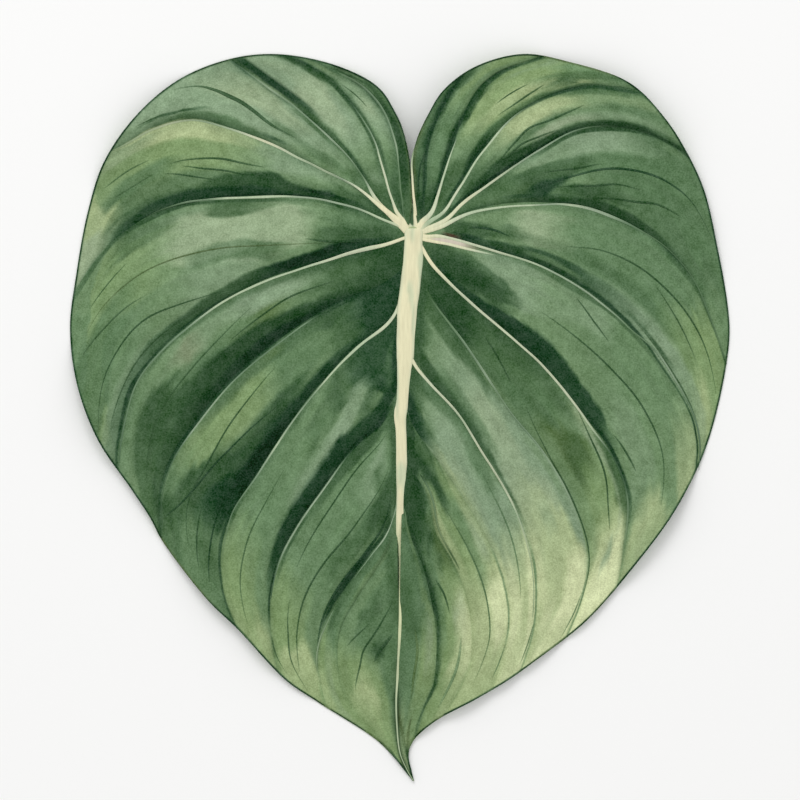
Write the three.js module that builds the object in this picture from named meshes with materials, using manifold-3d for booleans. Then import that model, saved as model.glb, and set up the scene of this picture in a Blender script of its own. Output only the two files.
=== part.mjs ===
// A cut heart-shaped philodendron leaf, lying face up: one solid, in millimetres, +Z up.
// The tip points along -Y, the two lobes along +Y. Plan points are measured from the petiole
// joint, where the veins meet. At the end the solid is set on z = 0, centred on its own box.
import * as THREE from "three";
import { mergeVertices } from "three/addons/utils/BufferGeometryUtils.js";
import Module from "manifold-3d";

// Driving dimensions.
const bladeThickness = 0.9;
const quiltShare = 0.11; // height of a pillow between two veins, as a share of its width
const quiltWidestSpan = 40; // a wider pillow rises no higher than this width gives
const quiltSkew = 0.55; // how far a pillow's crest leans towards the tip's side
const sideRibHalfWidth = 1.3;
const sideRibDepth = 1.9; // below the blade, at the vein's root
const sideRibEndDepth = 0.4;
const sideRibTop = 0.35; // above the blade, at the vein's root
const midribKeelDepth = 4.6;
const stubRadius = 3.6;
const stubLength = 13;
const stubLean = 0.62; // run towards the lobes for each millimetre of length
const innerShare = 0.55; // each half starts inside the midrib, at this share of its half-width
const rows = 15; // steps from the midrib to the margin
const mostBetween = 3; // columns between two veins, besides those at the veins

// The plan of the leaf. The sinus is the slit between the lobes.
const sinusBase = [0, 8];
const tip = [0.2, -274.5];
const leftEdge = [
  [-0.4, 14], [-0.9, 26], [-1.7, 36.5], [-5.5, 52.5], [-9.5, 61], [-15.5, 70.5], [-24, 77], [-44, 85],
  [-69.5, 89], [-92, 86.5], [-117, 76.5], [-138.5, 58.5], [-155, 35], [-163, 10.5], [-169, -22],
  [-172, -48], [-168.5, -76], [-158, -104], [-141, -129], [-131.5, -143.5], [-126, -154], [-103, -184],
  [-87.5, -199], [-64, -224], [-48, -235], [-18.5, -254], [-8.5, -264], [-4.3, -269.3],
];
const rightEdge = [
  [0.8, 14], [0.3, 26], [-0.3, 36], [2, 46.5], [7.5, 58.5], [15, 70.5], [31, 82.5], [55.5, 89],
  [80.5, 84.5], [104, 77], [114, 70.5], [125, 58.5], [133.5, 46.5], [145.5, 22.5], [153, -9],
  [157.5, -34], [158.8, -50], [157.2, -66], [151.5, -93], [144.5, -114], [131, -140], [113.5, -164],
  [87, -194.5], [62, -214], [48, -224], [31, -234], [11.5, -244.5], [1, -253.5], [-2, -259.5],
  [-2, -264], [-0.9, -268.5],
];
const midribLine = [
  [0, 0], [-1.8, -29], [-4, -46], [-5, -74], [-6.2, -109], [-6.8, -143], [-7, -174], [-7.2, -205],
  [-8.4, -229], [-8.1, -246], [-6.5, -260.5], [-3.2, -268.5],
];

// Side veins of each half, from the sinus to the tip: where each leaves the midrib, by its y,
// then the points it runs through. The last point is moved onto the margin.
const leftVeins = [
  [0, [-6, 15.5], [-7.5, 30], [-9.5, 44], [-14, 58], [-24, 71], [-38, 79], [-52, 86.5]],
  [0, [-11, 15.5], [-16, 33.5], [-22, 50.5], [-31, 64.5], [-43, 77.5], [-55, 84.5], [-66, 88.8]],
  [0, [-18, 15.5], [-26.5, 29.5], [-40.5, 45.5], [-57, 60.5], [-74, 72.5], [-92, 86.5]],
  [0, [-16, 10.5], [-31, 23], [-50, 33], [-70, 43.5], [-90.5, 51.5], [-110, 56.5], [-130, 51.5],
    [-144, 44], [-152, 40]],
  [0, [-16, 5.5], [-30, 12], [-50, 16.5], [-75, 18], [-105, 15.5], [-130, 9], [-146, -1],
    [-158, -12.5], [-170, -31]],
  [-2, [-16, -7], [-44, -14.5], [-72, -23], [-99, -37], [-121, -53], [-135.5, -70], [-143.5, -88.5],
    [-147.5, -106], [-148.5, -119]],
  [-17, [-16, -26.5], [-37, -35], [-65, -52.5], [-89.5, -72], [-109, -95], [-121.5, -113.5],
    [-127, -132], [-126.5, -154]],
  [-31, [-12.5, -44], [-31.5, -59.5], [-49, -79], [-63.5, -98.5], [-77.5, -120], [-91, -141.5],
    [-96, -161], [-95, -181], [-89, -198]],
  [-79, [-16, -93], [-30, -107], [-46, -129], [-59, -148], [-68, -166], [-72, -185], [-71, -204],
    [-67, -220]],
  [-133, [-12.5, -149.5], [-21.5, -162], [-33.5, -178], [-43, -195], [-47.5, -212], [-46.5, -224],
    [-43, -238]],
  [-150, [-18, -168], [-28, -183], [-36.5, -200], [-37.5, -217], [-33, -235], [-22, -252.5]],
];
const rightVeins = [
  [0, [4.5, 9], [6, 22.5], [6.6, 37], [10, 50], [14, 60.5], [18.5, 68.5], [26, 79.5]],
  [0, [4, 4.5], [9, 10.5], [11.5, 18], [16.5, 36], [23, 53], [31, 69.5], [42, 79.5], [66, 87.3]],
  [0, [8, 5.5], [15.5, 11.3], [23, 22.5], [32, 38.5], [49, 56.5], [67, 67.5], [87.5, 73],
    [101, 72.5], [113.5, 70]],
  [0, [15, 6.3], [24.5, 14], [42, 26.5], [63, 40.5], [81, 50.5], [98, 52.5], [116, 49.5], [130, 43],
    [138.5, 36.5]],
  [0, [14, 3.8], [29, 10.5], [46, 14], [67, 14.5], [88, 11.7], [108, 4], [125, -7], [140, -24],
    [150, -46], [156.3, -66]],
  [-1, [20, -6], [43, -11], [67, -18.5], [94.5, -36], [113.5, -53], [129.5, -74], [139.5, -92],
    [142.5, -106], [141.5, -119]],
  [-4, [11, -18.5], [28.5, -35.5], [50, -53], [70.5, -73.5], [89.5, -97], [101.5, -113],
    [107.5, -133], [106, -155], [101.5, -177]],
  [-20, [9, -32], [21.5, -50.5], [35.5, -70.5], [49, -91], [66, -111.5], [80, -136], [87.5, -164],
    [84, -185], [77, -203]],
  [-58, [7.5, -74], [23.5, -93], [39, -118], [53, -141.5], [60.5, -167], [61.5, -188], [59, -203],
    [53.5, -220]],
  [-87, [0.5, -98], [15, -118], [31, -143], [43, -167.5], [48, -190], [46.5, -206], [40, -229]],
  [-113, [7.5, -132.5], [12.5, -150.5], [22, -170], [28.5, -192], [29, -212], [24, -228], [15, -242]],
  [-137, [-1, -153.5], [4, -165], [8.5, -182], [11.5, -203], [10, -226], [5, -240], [1, -253]],
];
// Where the sinus edge ends and the lobe's top begins, for the strip beside the sinus.
const leftShoulder = [-36, 82];
const rightShoulder = [20, 75];

// Heights of the blade's middle surface. The midrib arches, by y. The margin waves, by the share
// of the way round from the sinus to the tip: below zero it lies flat on the surface.
const midribArch = [[14, 20], [0, 21.5], [-60, 24], [-120, 21], [-180, 14], [-230, 6], [-262, 1.4], [-276, 0.7]];
const leftMarginWave = [[0, 20], [0.1, 12], [0.18, -3.5], [0.24, -3.5], [0.34, 6], [0.44, -3.5],
  [0.49, -3.5], [0.6, 6], [0.7, 1], [0.82, 5], [0.92, -2], [1, 0]];
const rightMarginWave = [[0, 20], [0.1, 13], [0.2, 3], [0.31, 7], [0.41, 1], [0.52, -3.5],
  [0.58, -3.5], [0.68, 6], [0.79, 1], [0.9, 4], [1, 0]];

// Half-width of the midrib, by y.
const midribHalfWidth = [[10, 1.2], [8, 2.2], [0, 4.1], [-9, 4.7], [-38, 5.1], [-61, 4.3], [-80, 3.3],
  [-99, 2.9], [-124, 2.3], [-144, 1.9], [-158, 1.1], [-205, 0.9], [-262, 0.8], [-274.5, 0.6]];

const mix = (a, b, t) => a + (b - a) * t;

// Reads a list of [place, value] pairs at a place, eased so that its bends are round.
function along(list, place) {
  const rising = list[0][0] < list[list.length - 1][0];
  const steps = rising ? list : [...list].reverse();
  if (place <= steps[0][0]) return steps[0][1];
  for (let i = 1; i < steps.length; i++) {
    if (place <= steps[i][0]) {
      const t = (place - steps[i - 1][0]) / (steps[i][0] - steps[i - 1][0]);
      return mix(steps[i - 1][1], steps[i][1], t * t * (3 - 2 * t));
    }
  }
  return steps[steps.length - 1][1];
}

function curveThrough(points) {
  const curve = new THREE.CatmullRomCurve3(points.map(([x, y]) => new THREE.Vector3(x, y, 0)));
  curve.arcLengthDivisions = 1200;
  return curve;
}

// The share of a curve's length at which it comes nearest to a point.
function nearestShare(curve, [x, y]) {
  const point = new THREE.Vector3(x, y, 0);
  let best = 0;
  let least = Infinity;
  for (let i = 0; i <= 1200; i++) {
    const away = curve.getPointAt(i / 1200).distanceTo(point);
    if (away < least) {
      least = away;
      best = i / 1200;
    }
  }
  return best;
}

// The share of the midrib line's length at a height y.
function shareAtHeight(curve, y) {
  let low = 0;
  let high = 1;
  for (let i = 0; i < 40; i++) {
    const middle = (low + high) / 2;
    if (curve.getPointAt(middle).y > y) low = middle;
    else high = middle;
  }
  return (low + high) / 2;
}

// One half of the blade. Each stretch between two veins is a patch, ruled from vein to vein and
// bent to the midrib inside and the margin outside. Across a patch the blade rises in a pillow.
function halfBlade(edge, veins, shoulder, wave, side) {
  const beside = ([x, y]) => [x + side * innerShare * along(midribHalfWidth, y), y];
  const outline = curveThrough([beside(sinusBase), ...edge, beside(tip)]);
  const inner = curveThrough([sinusBase, ...midribLine, tip].map(beside));

  const shoulderShare = nearestShare(outline, shoulder);
  const guides = [{
    inner: 0,
    outer: shoulderShare,
    at: (s) => outline.getPointAt(s * shoulderShare),
    isVein: false,
  }];
  for (const [rootY, ...points] of veins) {
    const rootShare = shareAtHeight(inner, rootY);
    const endShare = nearestShare(outline, points[points.length - 1]);
    const root = inner.getPointAt(rootShare);
    const onMargin = outline.getPointAt(endShare);
    const path = curveThrough([[root.x, root.y], ...points.slice(0, -1), [onMargin.x, onMargin.y]]);
    guides.push({ inner: rootShare, outer: endShare, at: (s) => path.getPointAt(s), isVein: true });
  }
  const lastRoot = guides[guides.length - 1].inner;
  guides.push({ inner: lastRoot, outer: 1, at: (s) => inner.getPointAt(mix(lastRoot, 1, s)), isVein: false });

  const columns = [];
  for (let g = 0; g + 1 < guides.length; g++) {
    const a = guides[g];
    const b = guides[g + 1];
    const widest = Math.max(...[0.3, 0.6, 0.9].map((s) => a.at(s).distanceTo(b.at(s))));
    const between = Math.min(mostBetween, Math.max(1, Math.round(widest / 8)));
    const shares = [0, "rib"];
    for (let i = 1; i <= between; i++) shares.push(i / (between + 1));
    shares.push("far rib");
    if (g + 2 === guides.length) shares.push(1);
    for (const share of shares) columns.push(columnOf(a, b, share, outline, inner, wave));
  }
  return closedSheet(columns, side);
}

// The points of one column of a patch, from the midrib to the margin.
function columnOf(a, b, share, outline, inner, wave) {
  const column = [];
  for (let i = 0; i <= rows; i++) {
    const s = i / rows;
    const pa = a.at(s);
    const pb = b.at(s);
    const width = pa.distanceTo(pb);
    const rib = Math.min(0.16, sideRibHalfWidth / Math.max(width, 1e-6));
    const t = share === "rib" ? rib : share === "far rib" ? 1 - rib : mix(rib, 1 - rib, share);
    const across = share === 0 || share === 1 ? share : t;
    const innerPoint = inner.getPointAt(mix(a.inner, b.inner, across));
    const outerShare = mix(a.outer, b.outer, across);
    const outerPoint = outline.getPointAt(outerShare);
    const corner = (p0, p1) => p0.clone().lerp(p1, across);
    const plan = corner(pa, pb)
      .addScaledVector(innerPoint.clone().sub(corner(a.at(0), b.at(0))), (1 - s) * (1 - s))
      .addScaledVector(outerPoint.clone().sub(corner(a.at(1), b.at(1))), s * s);

    const fall = s * s * (3 - 2 * s);
    const skewed = across - quiltSkew * across * (1 - across);
    const pillow = 1 - Math.pow(Math.abs(2 * skewed - 1), 2.2);
    const fade = (1 - Math.pow(1 - s, 7)) * (1 - 0.5 * s * s);
    const lift = quiltShare * Math.min(width, quiltWidestSpan) * pillow * fade;
    const raw = mix(along(midribArch, innerPoint.y), along(wave, outerShare), fall) + lift;
    const middle = Math.max(raw, bladeThickness / 2);
    const onVein = (share === 0 && a.isVein) || (share === 1 && b.isVein);
    const depth = onVein ? mix(sideRibDepth, sideRibEndDepth, s) : 0;
    const height = onVein ? mix(sideRibTop, 0, s) : 0;
    column.push({
      x: plan.x,
      y: plan.y,
      top: middle + bladeThickness / 2 + height,
      bottom: Math.max(0, middle - bladeThickness / 2 - depth),
    });
  }
  return column;
}

// Closes a grid of columns into a sheet with a top, a bottom and a wall all round. Each cell is
// split along its fuller diagonal, top and bottom alike. Neighbours in the first row that meet in
// one point share it.
function closedSheet(columns, side) {
  const positions = [];
  const index = columns.map(() => []);
  columns.forEach((column, c) => column.forEach((p, r) => {
    const before = c > 0 ? columns[c - 1][r] : null;
    if (r === 0 && before && Math.hypot(p.x - before.x, p.y - before.y) < 1e-4) {
      index[c][r] = index[c - 1][r];
      return;
    }
    index[c][r] = positions.length / 6;
    positions.push(p.x, p.y, p.top, p.x, p.y, p.bottom);
  }));
  const faces = [];
  const face = (i, j, k) => {
    if (i !== j && j !== k && k !== i) faces.push(side < 0 ? [i, j, k] : [i, k, j]);
  };
  const top = (c, r) => 2 * index[c][r];
  const bottom = (c, r) => 2 * index[c][r] + 1;
  const last = columns.length - 1;
  const spread = (p, q, o) => -side * ((q.x - p.x) * (o.y - p.y) - (q.y - p.y) * (o.x - p.x));
  for (let c = 0; c < last; c++) {
    for (let r = 0; r < rows; r++) {
      const corners = [[c, r], [c, r + 1], [c + 1, r + 1], [c + 1, r]];
      const [p, q, o, w] = corners.map(([i, j]) => columns[i][j]);
      const forward = Math.min(spread(p, q, o), spread(p, o, w));
      const backward = Math.min(spread(p, q, w), spread(q, o, w));
      const split = forward >= backward ? [[0, 1, 2], [0, 2, 3]] : [[0, 1, 3], [1, 2, 3]];
      for (const three of split) {
        const [i, j, k] = three.map((n) => corners[n]);
        face(top(...i), top(...j), top(...k));
        face(bottom(...i), bottom(...k), bottom(...j));
      }
    }
  }
  const wall = (c0, r0, c1, r1) => {
    if (index[c0][r0] === index[c1][r1]) return;
    face(top(c0, r0), bottom(c0, r0), bottom(c1, r1));
    face(top(c0, r0), bottom(c1, r1), top(c1, r1));
  };
  for (let r = 0; r < rows; r++) wall(0, r, 0, r + 1);
  for (let c = 0; c < last; c++) wall(c, rows, c + 1, rows);
  for (let r = rows; r > 0; r--) wall(last, r, last, r - 1);
  for (let c = last; c > 0; c--) wall(c, 0, c - 1, 0);
  return solidOf(positions, faces.flat());
}

// A closed tube: one ring of points for each place along it, and a fan of faces at each end.
function loft(rings) {
  const positions = [];
  const faces = [];
  const n = rings[0].length;
  rings.forEach((ring) => ring.forEach((p) => positions.push(p.x, p.y, p.z)));
  const at = (ring, i) => ring * n + (i % n);
  for (let ring = 0; ring + 1 < rings.length; ring++) {
    for (let i = 0; i < n; i++) {
      faces.push(at(ring, i), at(ring, i + 1), at(ring + 1, i + 1));
      faces.push(at(ring, i), at(ring + 1, i + 1), at(ring + 1, i));
    }
  }
  for (let i = 1; i + 1 < n; i++) {
    faces.push(at(0, 0), at(0, i + 1), at(0, i));
    faces.push(at(rings.length - 1, 0), at(rings.length - 1, i), at(rings.length - 1, i + 1));
  }
  return solidOf(positions, faces);
}

function solidOf(positions, faces) {
  const geometry = new THREE.BufferGeometry();
  geometry.setAttribute("position", new THREE.Float32BufferAttribute(positions, 3));
  geometry.setIndex(faces);
  const merged = mergeVertices(geometry, 1e-4);
  return new wasm.Manifold(new wasm.Mesh({
    numProp: 3,
    vertProperties: merged.attributes.position.array,
    triVerts: new Uint32Array(merged.index.array),
  }));
}

// The midrib: a flat crown above the blade and a rounded keel below it, running from just past
// the sinus to just past the tip. It covers the line on which the two halves meet.
function midrib() {
  const line = curveThrough([[0.2, 10], sinusBase, ...midribLine, tip]);
  const sections = 36;
  const sides = 8;
  const rings = [];
  for (let i = 0; i <= sections; i++) {
    const p = line.getPointAt(i / sections);
    const half = along(midribHalfWidth, p.y);
    const middle = along(midribArch, p.y);
    const keel = mix(0.5, midribKeelDepth, Math.min(1, half / 4.6));
    const crown = bladeThickness / 2 + 0.12 * half + 0.1;
    const ring = [];
    for (let k = 0; k < sides; k++) {
      const angle = (2 * Math.PI * (k + 0.5)) / sides;
      const z = middle + (Math.sin(angle) > 0 ? crown : keel) * Math.sin(angle);
      const x = p.x + (half / Math.cos(Math.PI / sides)) * Math.cos(angle);
      ring.push(new THREE.Vector3(x, p.y, Math.max(0, z)));
    }
    rings.push(ring);
  }
  return loft(rings);
}

// What is left of the petiole: a short stalk under the joint, cut square.
function petioleStub() {
  const sides = 14;
  const drop = Math.sqrt(1 - stubLean * stubLean);
  const axis = new THREE.Vector3(0, stubLean, -drop);
  const across = new THREE.Vector3(1, 0, 0);
  const upright = new THREE.Vector3().crossVectors(axis, across);
  const root = new THREE.Vector3(0, -1, along(midribArch, 0) - 1.2);
  const rings = [[0, 1.12], [0.35, 1.02], [1, 0.94]].map(([share, swell]) => {
    const centre = root.clone().addScaledVector(axis, share * stubLength);
    const ring = [];
    for (let k = 0; k < sides; k++) {
      const angle = (2 * Math.PI * k) / sides;
      ring.push(centre.clone()
        .addScaledVector(across, swell * stubRadius * Math.cos(angle))
        .addScaledVector(upright, swell * stubRadius * Math.sin(angle)));
    }
    return ring;
  });
  return loft(rings);
}

const wasm = await Module();
wasm.setup();

const solid = halfBlade(leftEdge, leftVeins, leftShoulder, leftMarginWave, -1)
  .add(halfBlade(rightEdge, rightVeins, rightShoulder, rightMarginWave, 1))
  .add(midrib())
  .add(petioleStub());

const { vertProperties, triVerts } = solid.getMesh();
const geometry = new THREE.BufferGeometry();
geometry.setAttribute("position", new THREE.BufferAttribute(vertProperties, 3));
geometry.setIndex(new THREE.BufferAttribute(triVerts, 1));
geometry.computeVertexNormals();
geometry.computeBoundingBox();

const leafGreen = new THREE.MeshStandardMaterial({ color: 0x5f8a5c, roughness: 0.62, metalness: 0 });
const leaf = new THREE.Mesh(geometry, leafGreen);
leaf.name = "leaf";
const box = geometry.boundingBox;
leaf.position.set(-(box.min.x + box.max.x) / 2, -(box.min.y + box.max.y) / 2, -box.min.z);

const group = new THREE.Group();
group.add(leaf);

export default group;
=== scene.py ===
"""A cut philodendron leaf lying face up, seen from straight above.

Shapes are worked out in millimetres from the petiole joint, where the veins meet: the tip points
along -Y and the two lobes along +Y. `placed` moves them into the frame, in metres. A place on a
half of the blade is given by its sector, the stretch between two main veins, counted from the
sinus; by t, the share of the way across the sector, towards the tip's side; and by s, the share
of the way from the midrib to the margin.
"""

import bmesh
import bpy
import numpy as np
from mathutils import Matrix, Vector


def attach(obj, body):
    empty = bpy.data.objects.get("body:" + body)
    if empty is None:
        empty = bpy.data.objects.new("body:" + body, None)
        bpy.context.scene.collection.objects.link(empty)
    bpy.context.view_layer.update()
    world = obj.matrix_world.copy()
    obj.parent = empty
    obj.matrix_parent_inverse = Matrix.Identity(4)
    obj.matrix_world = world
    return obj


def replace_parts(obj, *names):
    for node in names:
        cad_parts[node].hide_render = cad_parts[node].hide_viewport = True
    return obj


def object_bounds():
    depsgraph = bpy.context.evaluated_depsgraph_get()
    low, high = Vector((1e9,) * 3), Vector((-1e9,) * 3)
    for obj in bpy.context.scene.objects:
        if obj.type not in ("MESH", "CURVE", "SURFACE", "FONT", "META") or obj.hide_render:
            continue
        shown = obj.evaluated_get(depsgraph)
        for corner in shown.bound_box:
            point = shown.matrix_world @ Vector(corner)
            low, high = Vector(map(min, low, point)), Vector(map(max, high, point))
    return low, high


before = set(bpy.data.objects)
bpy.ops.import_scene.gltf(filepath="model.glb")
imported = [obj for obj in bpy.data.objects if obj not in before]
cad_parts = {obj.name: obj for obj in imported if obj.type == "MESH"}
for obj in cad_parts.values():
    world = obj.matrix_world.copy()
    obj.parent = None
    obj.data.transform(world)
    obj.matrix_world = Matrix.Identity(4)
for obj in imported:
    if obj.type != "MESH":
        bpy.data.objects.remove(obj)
cad_low, cad_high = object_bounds()

MM = 0.001

# The leaf's driving dimensions, in millimetres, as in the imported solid.
BLADE_THICKNESS = 0.9
MARGIN_THICKNESS = 0.5
QUILT_SHARE = 0.11
QUILT_WIDEST_SPAN = 40
QUILT_SKEW = 0.55
SIDE_RIB_HALF_WIDTH = 1.3
SIDE_RIB_DEPTH = 1.9
SIDE_RIB_END_DEPTH = 0.4
MIDRIB_KEEL_DEPTH = 4.6
STUB_RADIUS = 3.6
STUB_LENGTH = 13
STUB_LEAN = 0.62
INNER_SHARE = 0.55
GROOVE_DEPTH = 0.14
GROOVE_WIDTH = 2.2

# The threads that lie on the blade: the pale main veins and the dark line of the margin.
VEIN_CROWN = 0.45
THREAD_SUNK = 0.3
FINE_VEIN_CROWN = 0.14
FINE_VEIN_SUNK = 0.25
MARGIN_CORD_RADIUS = 0.42
MARGIN_CORD_HALF_HEIGHT = 0.36

# How far the painted shade of a fold reaches beside a main vein, and that of the crease within it.
FOLD_SHADE_WIDTH = 2.8
CREASE_SHADE_WIDTH = 0.8

# Real sizes of the patterns in the leaf's tissue. The streaks are drawn out along the midrib.
MOTTLE_SIZE = 6.67
CELL_GRAIN_SIZE = 0.769
VEIN_STREAK_SIZE = 1.111
VEIN_STREAK_STRETCH = 0.12

# The plan of the leaf. The sinus is the slit between the lobes.
SINUS_BASE = (0, 8)
TIP = (0.2, -274.5)
LEFT_EDGE = [
    (-0.4, 14), (-0.9, 26), (-1.7, 36.5), (-5.5, 52.5), (-9.5, 61), (-15.5, 70.5), (-24, 77),
    (-44, 85), (-69.5, 89), (-92, 86.5), (-117, 76.5), (-138.5, 58.5), (-155, 35), (-163, 10.5),
    (-169, -22), (-172, -48), (-168.5, -76), (-158, -104), (-141, -129), (-131.5, -143.5),
    (-126, -154), (-103, -184), (-87.5, -199), (-64, -224), (-48, -235), (-18.5, -254),
    (-8.5, -264), (-4.3, -269.3),
]
RIGHT_EDGE = [
    (0.8, 14), (0.3, 26), (-0.3, 36), (2, 46.5), (7.5, 58.5), (15, 70.5), (31, 82.5), (55.5, 89),
    (80.5, 84.5), (104, 77), (114, 70.5), (125, 58.5), (133.5, 46.5), (145.5, 22.5), (153, -9),
    (157.5, -34), (158.8, -50), (157.2, -66), (151.5, -93), (144.5, -114), (131, -140),
    (113.5, -164), (87, -194.5), (62, -214), (48, -224), (31, -234), (11.5, -244.5), (1, -253.5),
    (-2, -259.5), (-2, -264), (-0.9, -268.5),
]
MIDRIB_LINE = [
    (0, 0), (-1.8, -29), (-4, -46), (-5, -74), (-6.2, -109), (-6.8, -143), (-7, -174),
    (-7.2, -205), (-8.4, -229), (-8.1, -246), (-6.5, -260.5), (-3.2, -268.5),
]

# The main side veins of each half, from the sinus to the tip: where each leaves the midrib, by
# its y, then the points it runs through. The last point is moved onto the margin.
LEFT_VEINS = [
    (0, (-6, 15.5), (-7.5, 30), (-9.5, 44), (-14, 58), (-24, 71), (-38, 79), (-52, 86.5)),
    (0, (-11, 15.5), (-16, 33.5), (-22, 50.5), (-31, 64.5), (-43, 77.5), (-55, 84.5),
     (-66, 88.8)),
    (0, (-18, 15.5), (-26.5, 29.5), (-40.5, 45.5), (-57, 60.5), (-74, 72.5), (-92, 86.5)),
    (0, (-16, 10.5), (-31, 23), (-50, 33), (-70, 43.5), (-90.5, 51.5), (-110, 56.5),
     (-130, 51.5), (-144, 44), (-152, 40)),
    (0, (-16, 5.5), (-30, 12), (-50, 16.5), (-75, 18), (-105, 15.5), (-130, 9), (-146, -1),
     (-158, -12.5), (-170, -31)),
    (-2, (-16, -7), (-44, -14.5), (-72, -23), (-99, -37), (-121, -53), (-135.5, -70),
     (-143.5, -88.5), (-147.5, -106), (-148.5, -119)),
    (-17, (-16, -26.5), (-37, -35), (-65, -52.5), (-89.5, -72), (-109, -95), (-121.5, -113.5),
     (-127, -132), (-126.5, -154)),
    (-31, (-12.5, -44), (-31.5, -59.5), (-49, -79), (-63.5, -98.5), (-77.5, -120),
     (-91, -141.5), (-96, -161), (-95, -181), (-89, -198)),
    (-79, (-16, -93), (-30, -107), (-46, -129), (-59, -148), (-68, -166), (-72, -185),
     (-71, -204), (-67, -220)),
    (-133, (-12.5, -149.5), (-21.5, -162), (-33.5, -178), (-43, -195), (-47.5, -212),
     (-46.5, -224), (-43, -238)),
    (-150, (-18, -168), (-28, -183), (-36.5, -200), (-37.5, -217), (-33, -235), (-22, -252.5)),
]
RIGHT_VEINS = [
    (0, (4.5, 9), (6, 22.5), (6.6, 37), (10, 50), (14, 60.5), (18.5, 68.5), (26, 79.5)),
    (0, (4, 4.5), (9, 10.5), (11.5, 18), (16.5, 36), (23, 53), (31, 69.5), (42, 79.5),
     (66, 87.3)),
    (0, (8, 5.5), (15.5, 11.3), (23, 22.5), (32, 38.5), (49, 56.5), (67, 67.5), (87.5, 73),
     (101, 72.5), (113.5, 70)),
    (0, (15, 6.3), (24.5, 14), (42, 26.5), (63, 40.5), (81, 50.5), (98, 52.5), (116, 49.5),
     (130, 43), (138.5, 36.5)),
    (0, (14, 3.8), (29, 10.5), (46, 14), (67, 14.5), (88, 11.7), (108, 4), (125, -7),
     (140, -24), (150, -46), (156.3, -66)),
    (-1, (20, -6), (43, -11), (67, -18.5), (94.5, -36), (113.5, -53), (129.5, -74),
     (139.5, -92), (142.5, -106), (141.5, -119)),
    (-4, (11, -18.5), (28.5, -35.5), (50, -53), (70.5, -73.5), (89.5, -97), (101.5, -113),
     (107.5, -133), (106, -155), (101.5, -177)),
    (-20, (9, -32), (21.5, -50.5), (35.5, -70.5), (49, -91), (66, -111.5), (80, -136),
     (87.5, -164), (84, -185), (77, -203)),
    (-58, (7.5, -74), (23.5, -93), (39, -118), (53, -141.5), (60.5, -167), (61.5, -188),
     (59, -203), (53.5, -220)),
    (-87, (0.5, -98), (15, -118), (31, -143), (43, -167.5), (48, -190), (46.5, -206),
     (40, -229)),
    (-113, (7.5, -132.5), (12.5, -150.5), (22, -170), (28.5, -192), (29, -212), (24, -228),
     (15, -242)),
    (-137, (-1, -153.5), (4, -165), (8.5, -182), (11.5, -203), (10, -226), (5, -240),
     (1, -253)),
]
# How much of the painted fold shade beside each of those veins is left towards the margin.
LEFT_LATE_FOLD_SHADE = (1, 1, 0.9, 0.6, 0.6, 0.8, 1, 0.5, 0.4, 0.1, 0)
RIGHT_LATE_FOLD_SHADE = (0.8, 0.8, 1, 0.8, 0.8, 0.1, 0.3, 0, 0, 0, 0.1, 0.4)
# Where the edge of the sinus gives way to the margin, at the top of each lobe.
LEFT_SHOULDER = (-36, 82)
RIGHT_SHOULDER = (20, 75)

# Heights of the blade's middle surface: the midrib's arch, by y, and the margin's waves, by the
# share of the way round from the sinus to the tip.
MIDRIB_ARCH = [(14, 20), (0, 21.5), (-60, 24), (-120, 21), (-180, 14), (-230, 6), (-262, 1.4),
               (-276, 0.7)]
LEFT_MARGIN_WAVE = [(0, 20), (0.1, 12), (0.18, -3.5), (0.24, -3.5), (0.34, 6), (0.44, -3.5),
                    (0.49, -3.5), (0.6, 6), (0.7, 1), (0.82, 5), (0.92, -2), (1, 0)]
RIGHT_MARGIN_WAVE = [(0, 20), (0.1, 13), (0.2, 3), (0.31, 7), (0.41, 1), (0.52, -3.5),
                     (0.58, -3.5), (0.68, 6), (0.79, 1), (0.9, 4), (1, 0)]

# Half-width of the midrib, by y.
MIDRIB_HALF_WIDTH = [
    (10, 1.2), (8, 2.2), (0, 4.1), (-9, 4.7), (-38, 5.1), (-61, 4.3), (-80, 3.3), (-99, 2.9),
    (-124, 2.3), (-144, 1.9), (-158, 1.1), (-205, 0.9), (-262, 0.8), (-274.5, 0.6),
]

# The midrib's crown as it shows on top: its middle x and half-width, by y.
MIDRIB_CROWN_X = [
    (14, 0.3), (10, 0.7), (7, 1), (3.5, 1.3), (1, 0.6), (-2, 0.4), (-6, 0.2), (-14, 0.1),
    (-22, -0.8), (-30, -1.7), (-38, -2.8), (-46, -3.1), (-54, -3.6), (-62, -4), (-70, -4.5),
    (-78, -4.7), (-86, -5.4), (-90, -6.4), (-94, -6.9), (-99, -6.3), (-106, -5.8), (-114, -5.9),
    (-126, -6.1), (-134, -6.2), (-140, -6.35), (-144, -6.5), (-147, -6.65), (-150, -6.7),
    (-157, -6.25), (-169, -6.1), (-184, -6.15), (-204, -6.7), (-224, -7.85), (-234, -8.4),
    (-246, -8.1), (-260.5, -6.5), (-268.5, -3.2), (-274.5, 0.2),
]
MIDRIB_CROWN_HALF_WIDTH = [
    (14, 0.4), (10, 0.55), (5, 0.7), (3.6, 0.95), (2.6, 2.4), (1.2, 4), (-1, 4.6), (-4, 4.4),
    (-14, 4.85), (-34, 4.95), (-40, 4.9), (-46, 4.8), (-54, 4.7), (-62, 4.4), (-66, 3.9),
    (-70, 3.6), (-78, 3.25), (-84, 3.1), (-90, 3.4), (-94, 3.4), (-99, 3), (-106, 3.1),
    (-114, 2.95), (-122, 2.5), (-130, 2.05), (-138, 2.1), (-144, 2.2), (-147, 1.95), (-150, 1.8),
    (-157, 1.05), (-169, 0.8), (-200, 0.8), (-220, 0.65), (-236, 0.4), (-274.5, 0.2),
]

# How finely the pieces are worked out.
INNER_ROWS = 190
MARGIN_ROWS = 9
MARGIN_ROWS_START = 0.985
UNDERSIDE_STEP = 3
BLADE_COLUMN_SPACING = 1.45
MERGE_REACH = 0.004


# Colour

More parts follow.
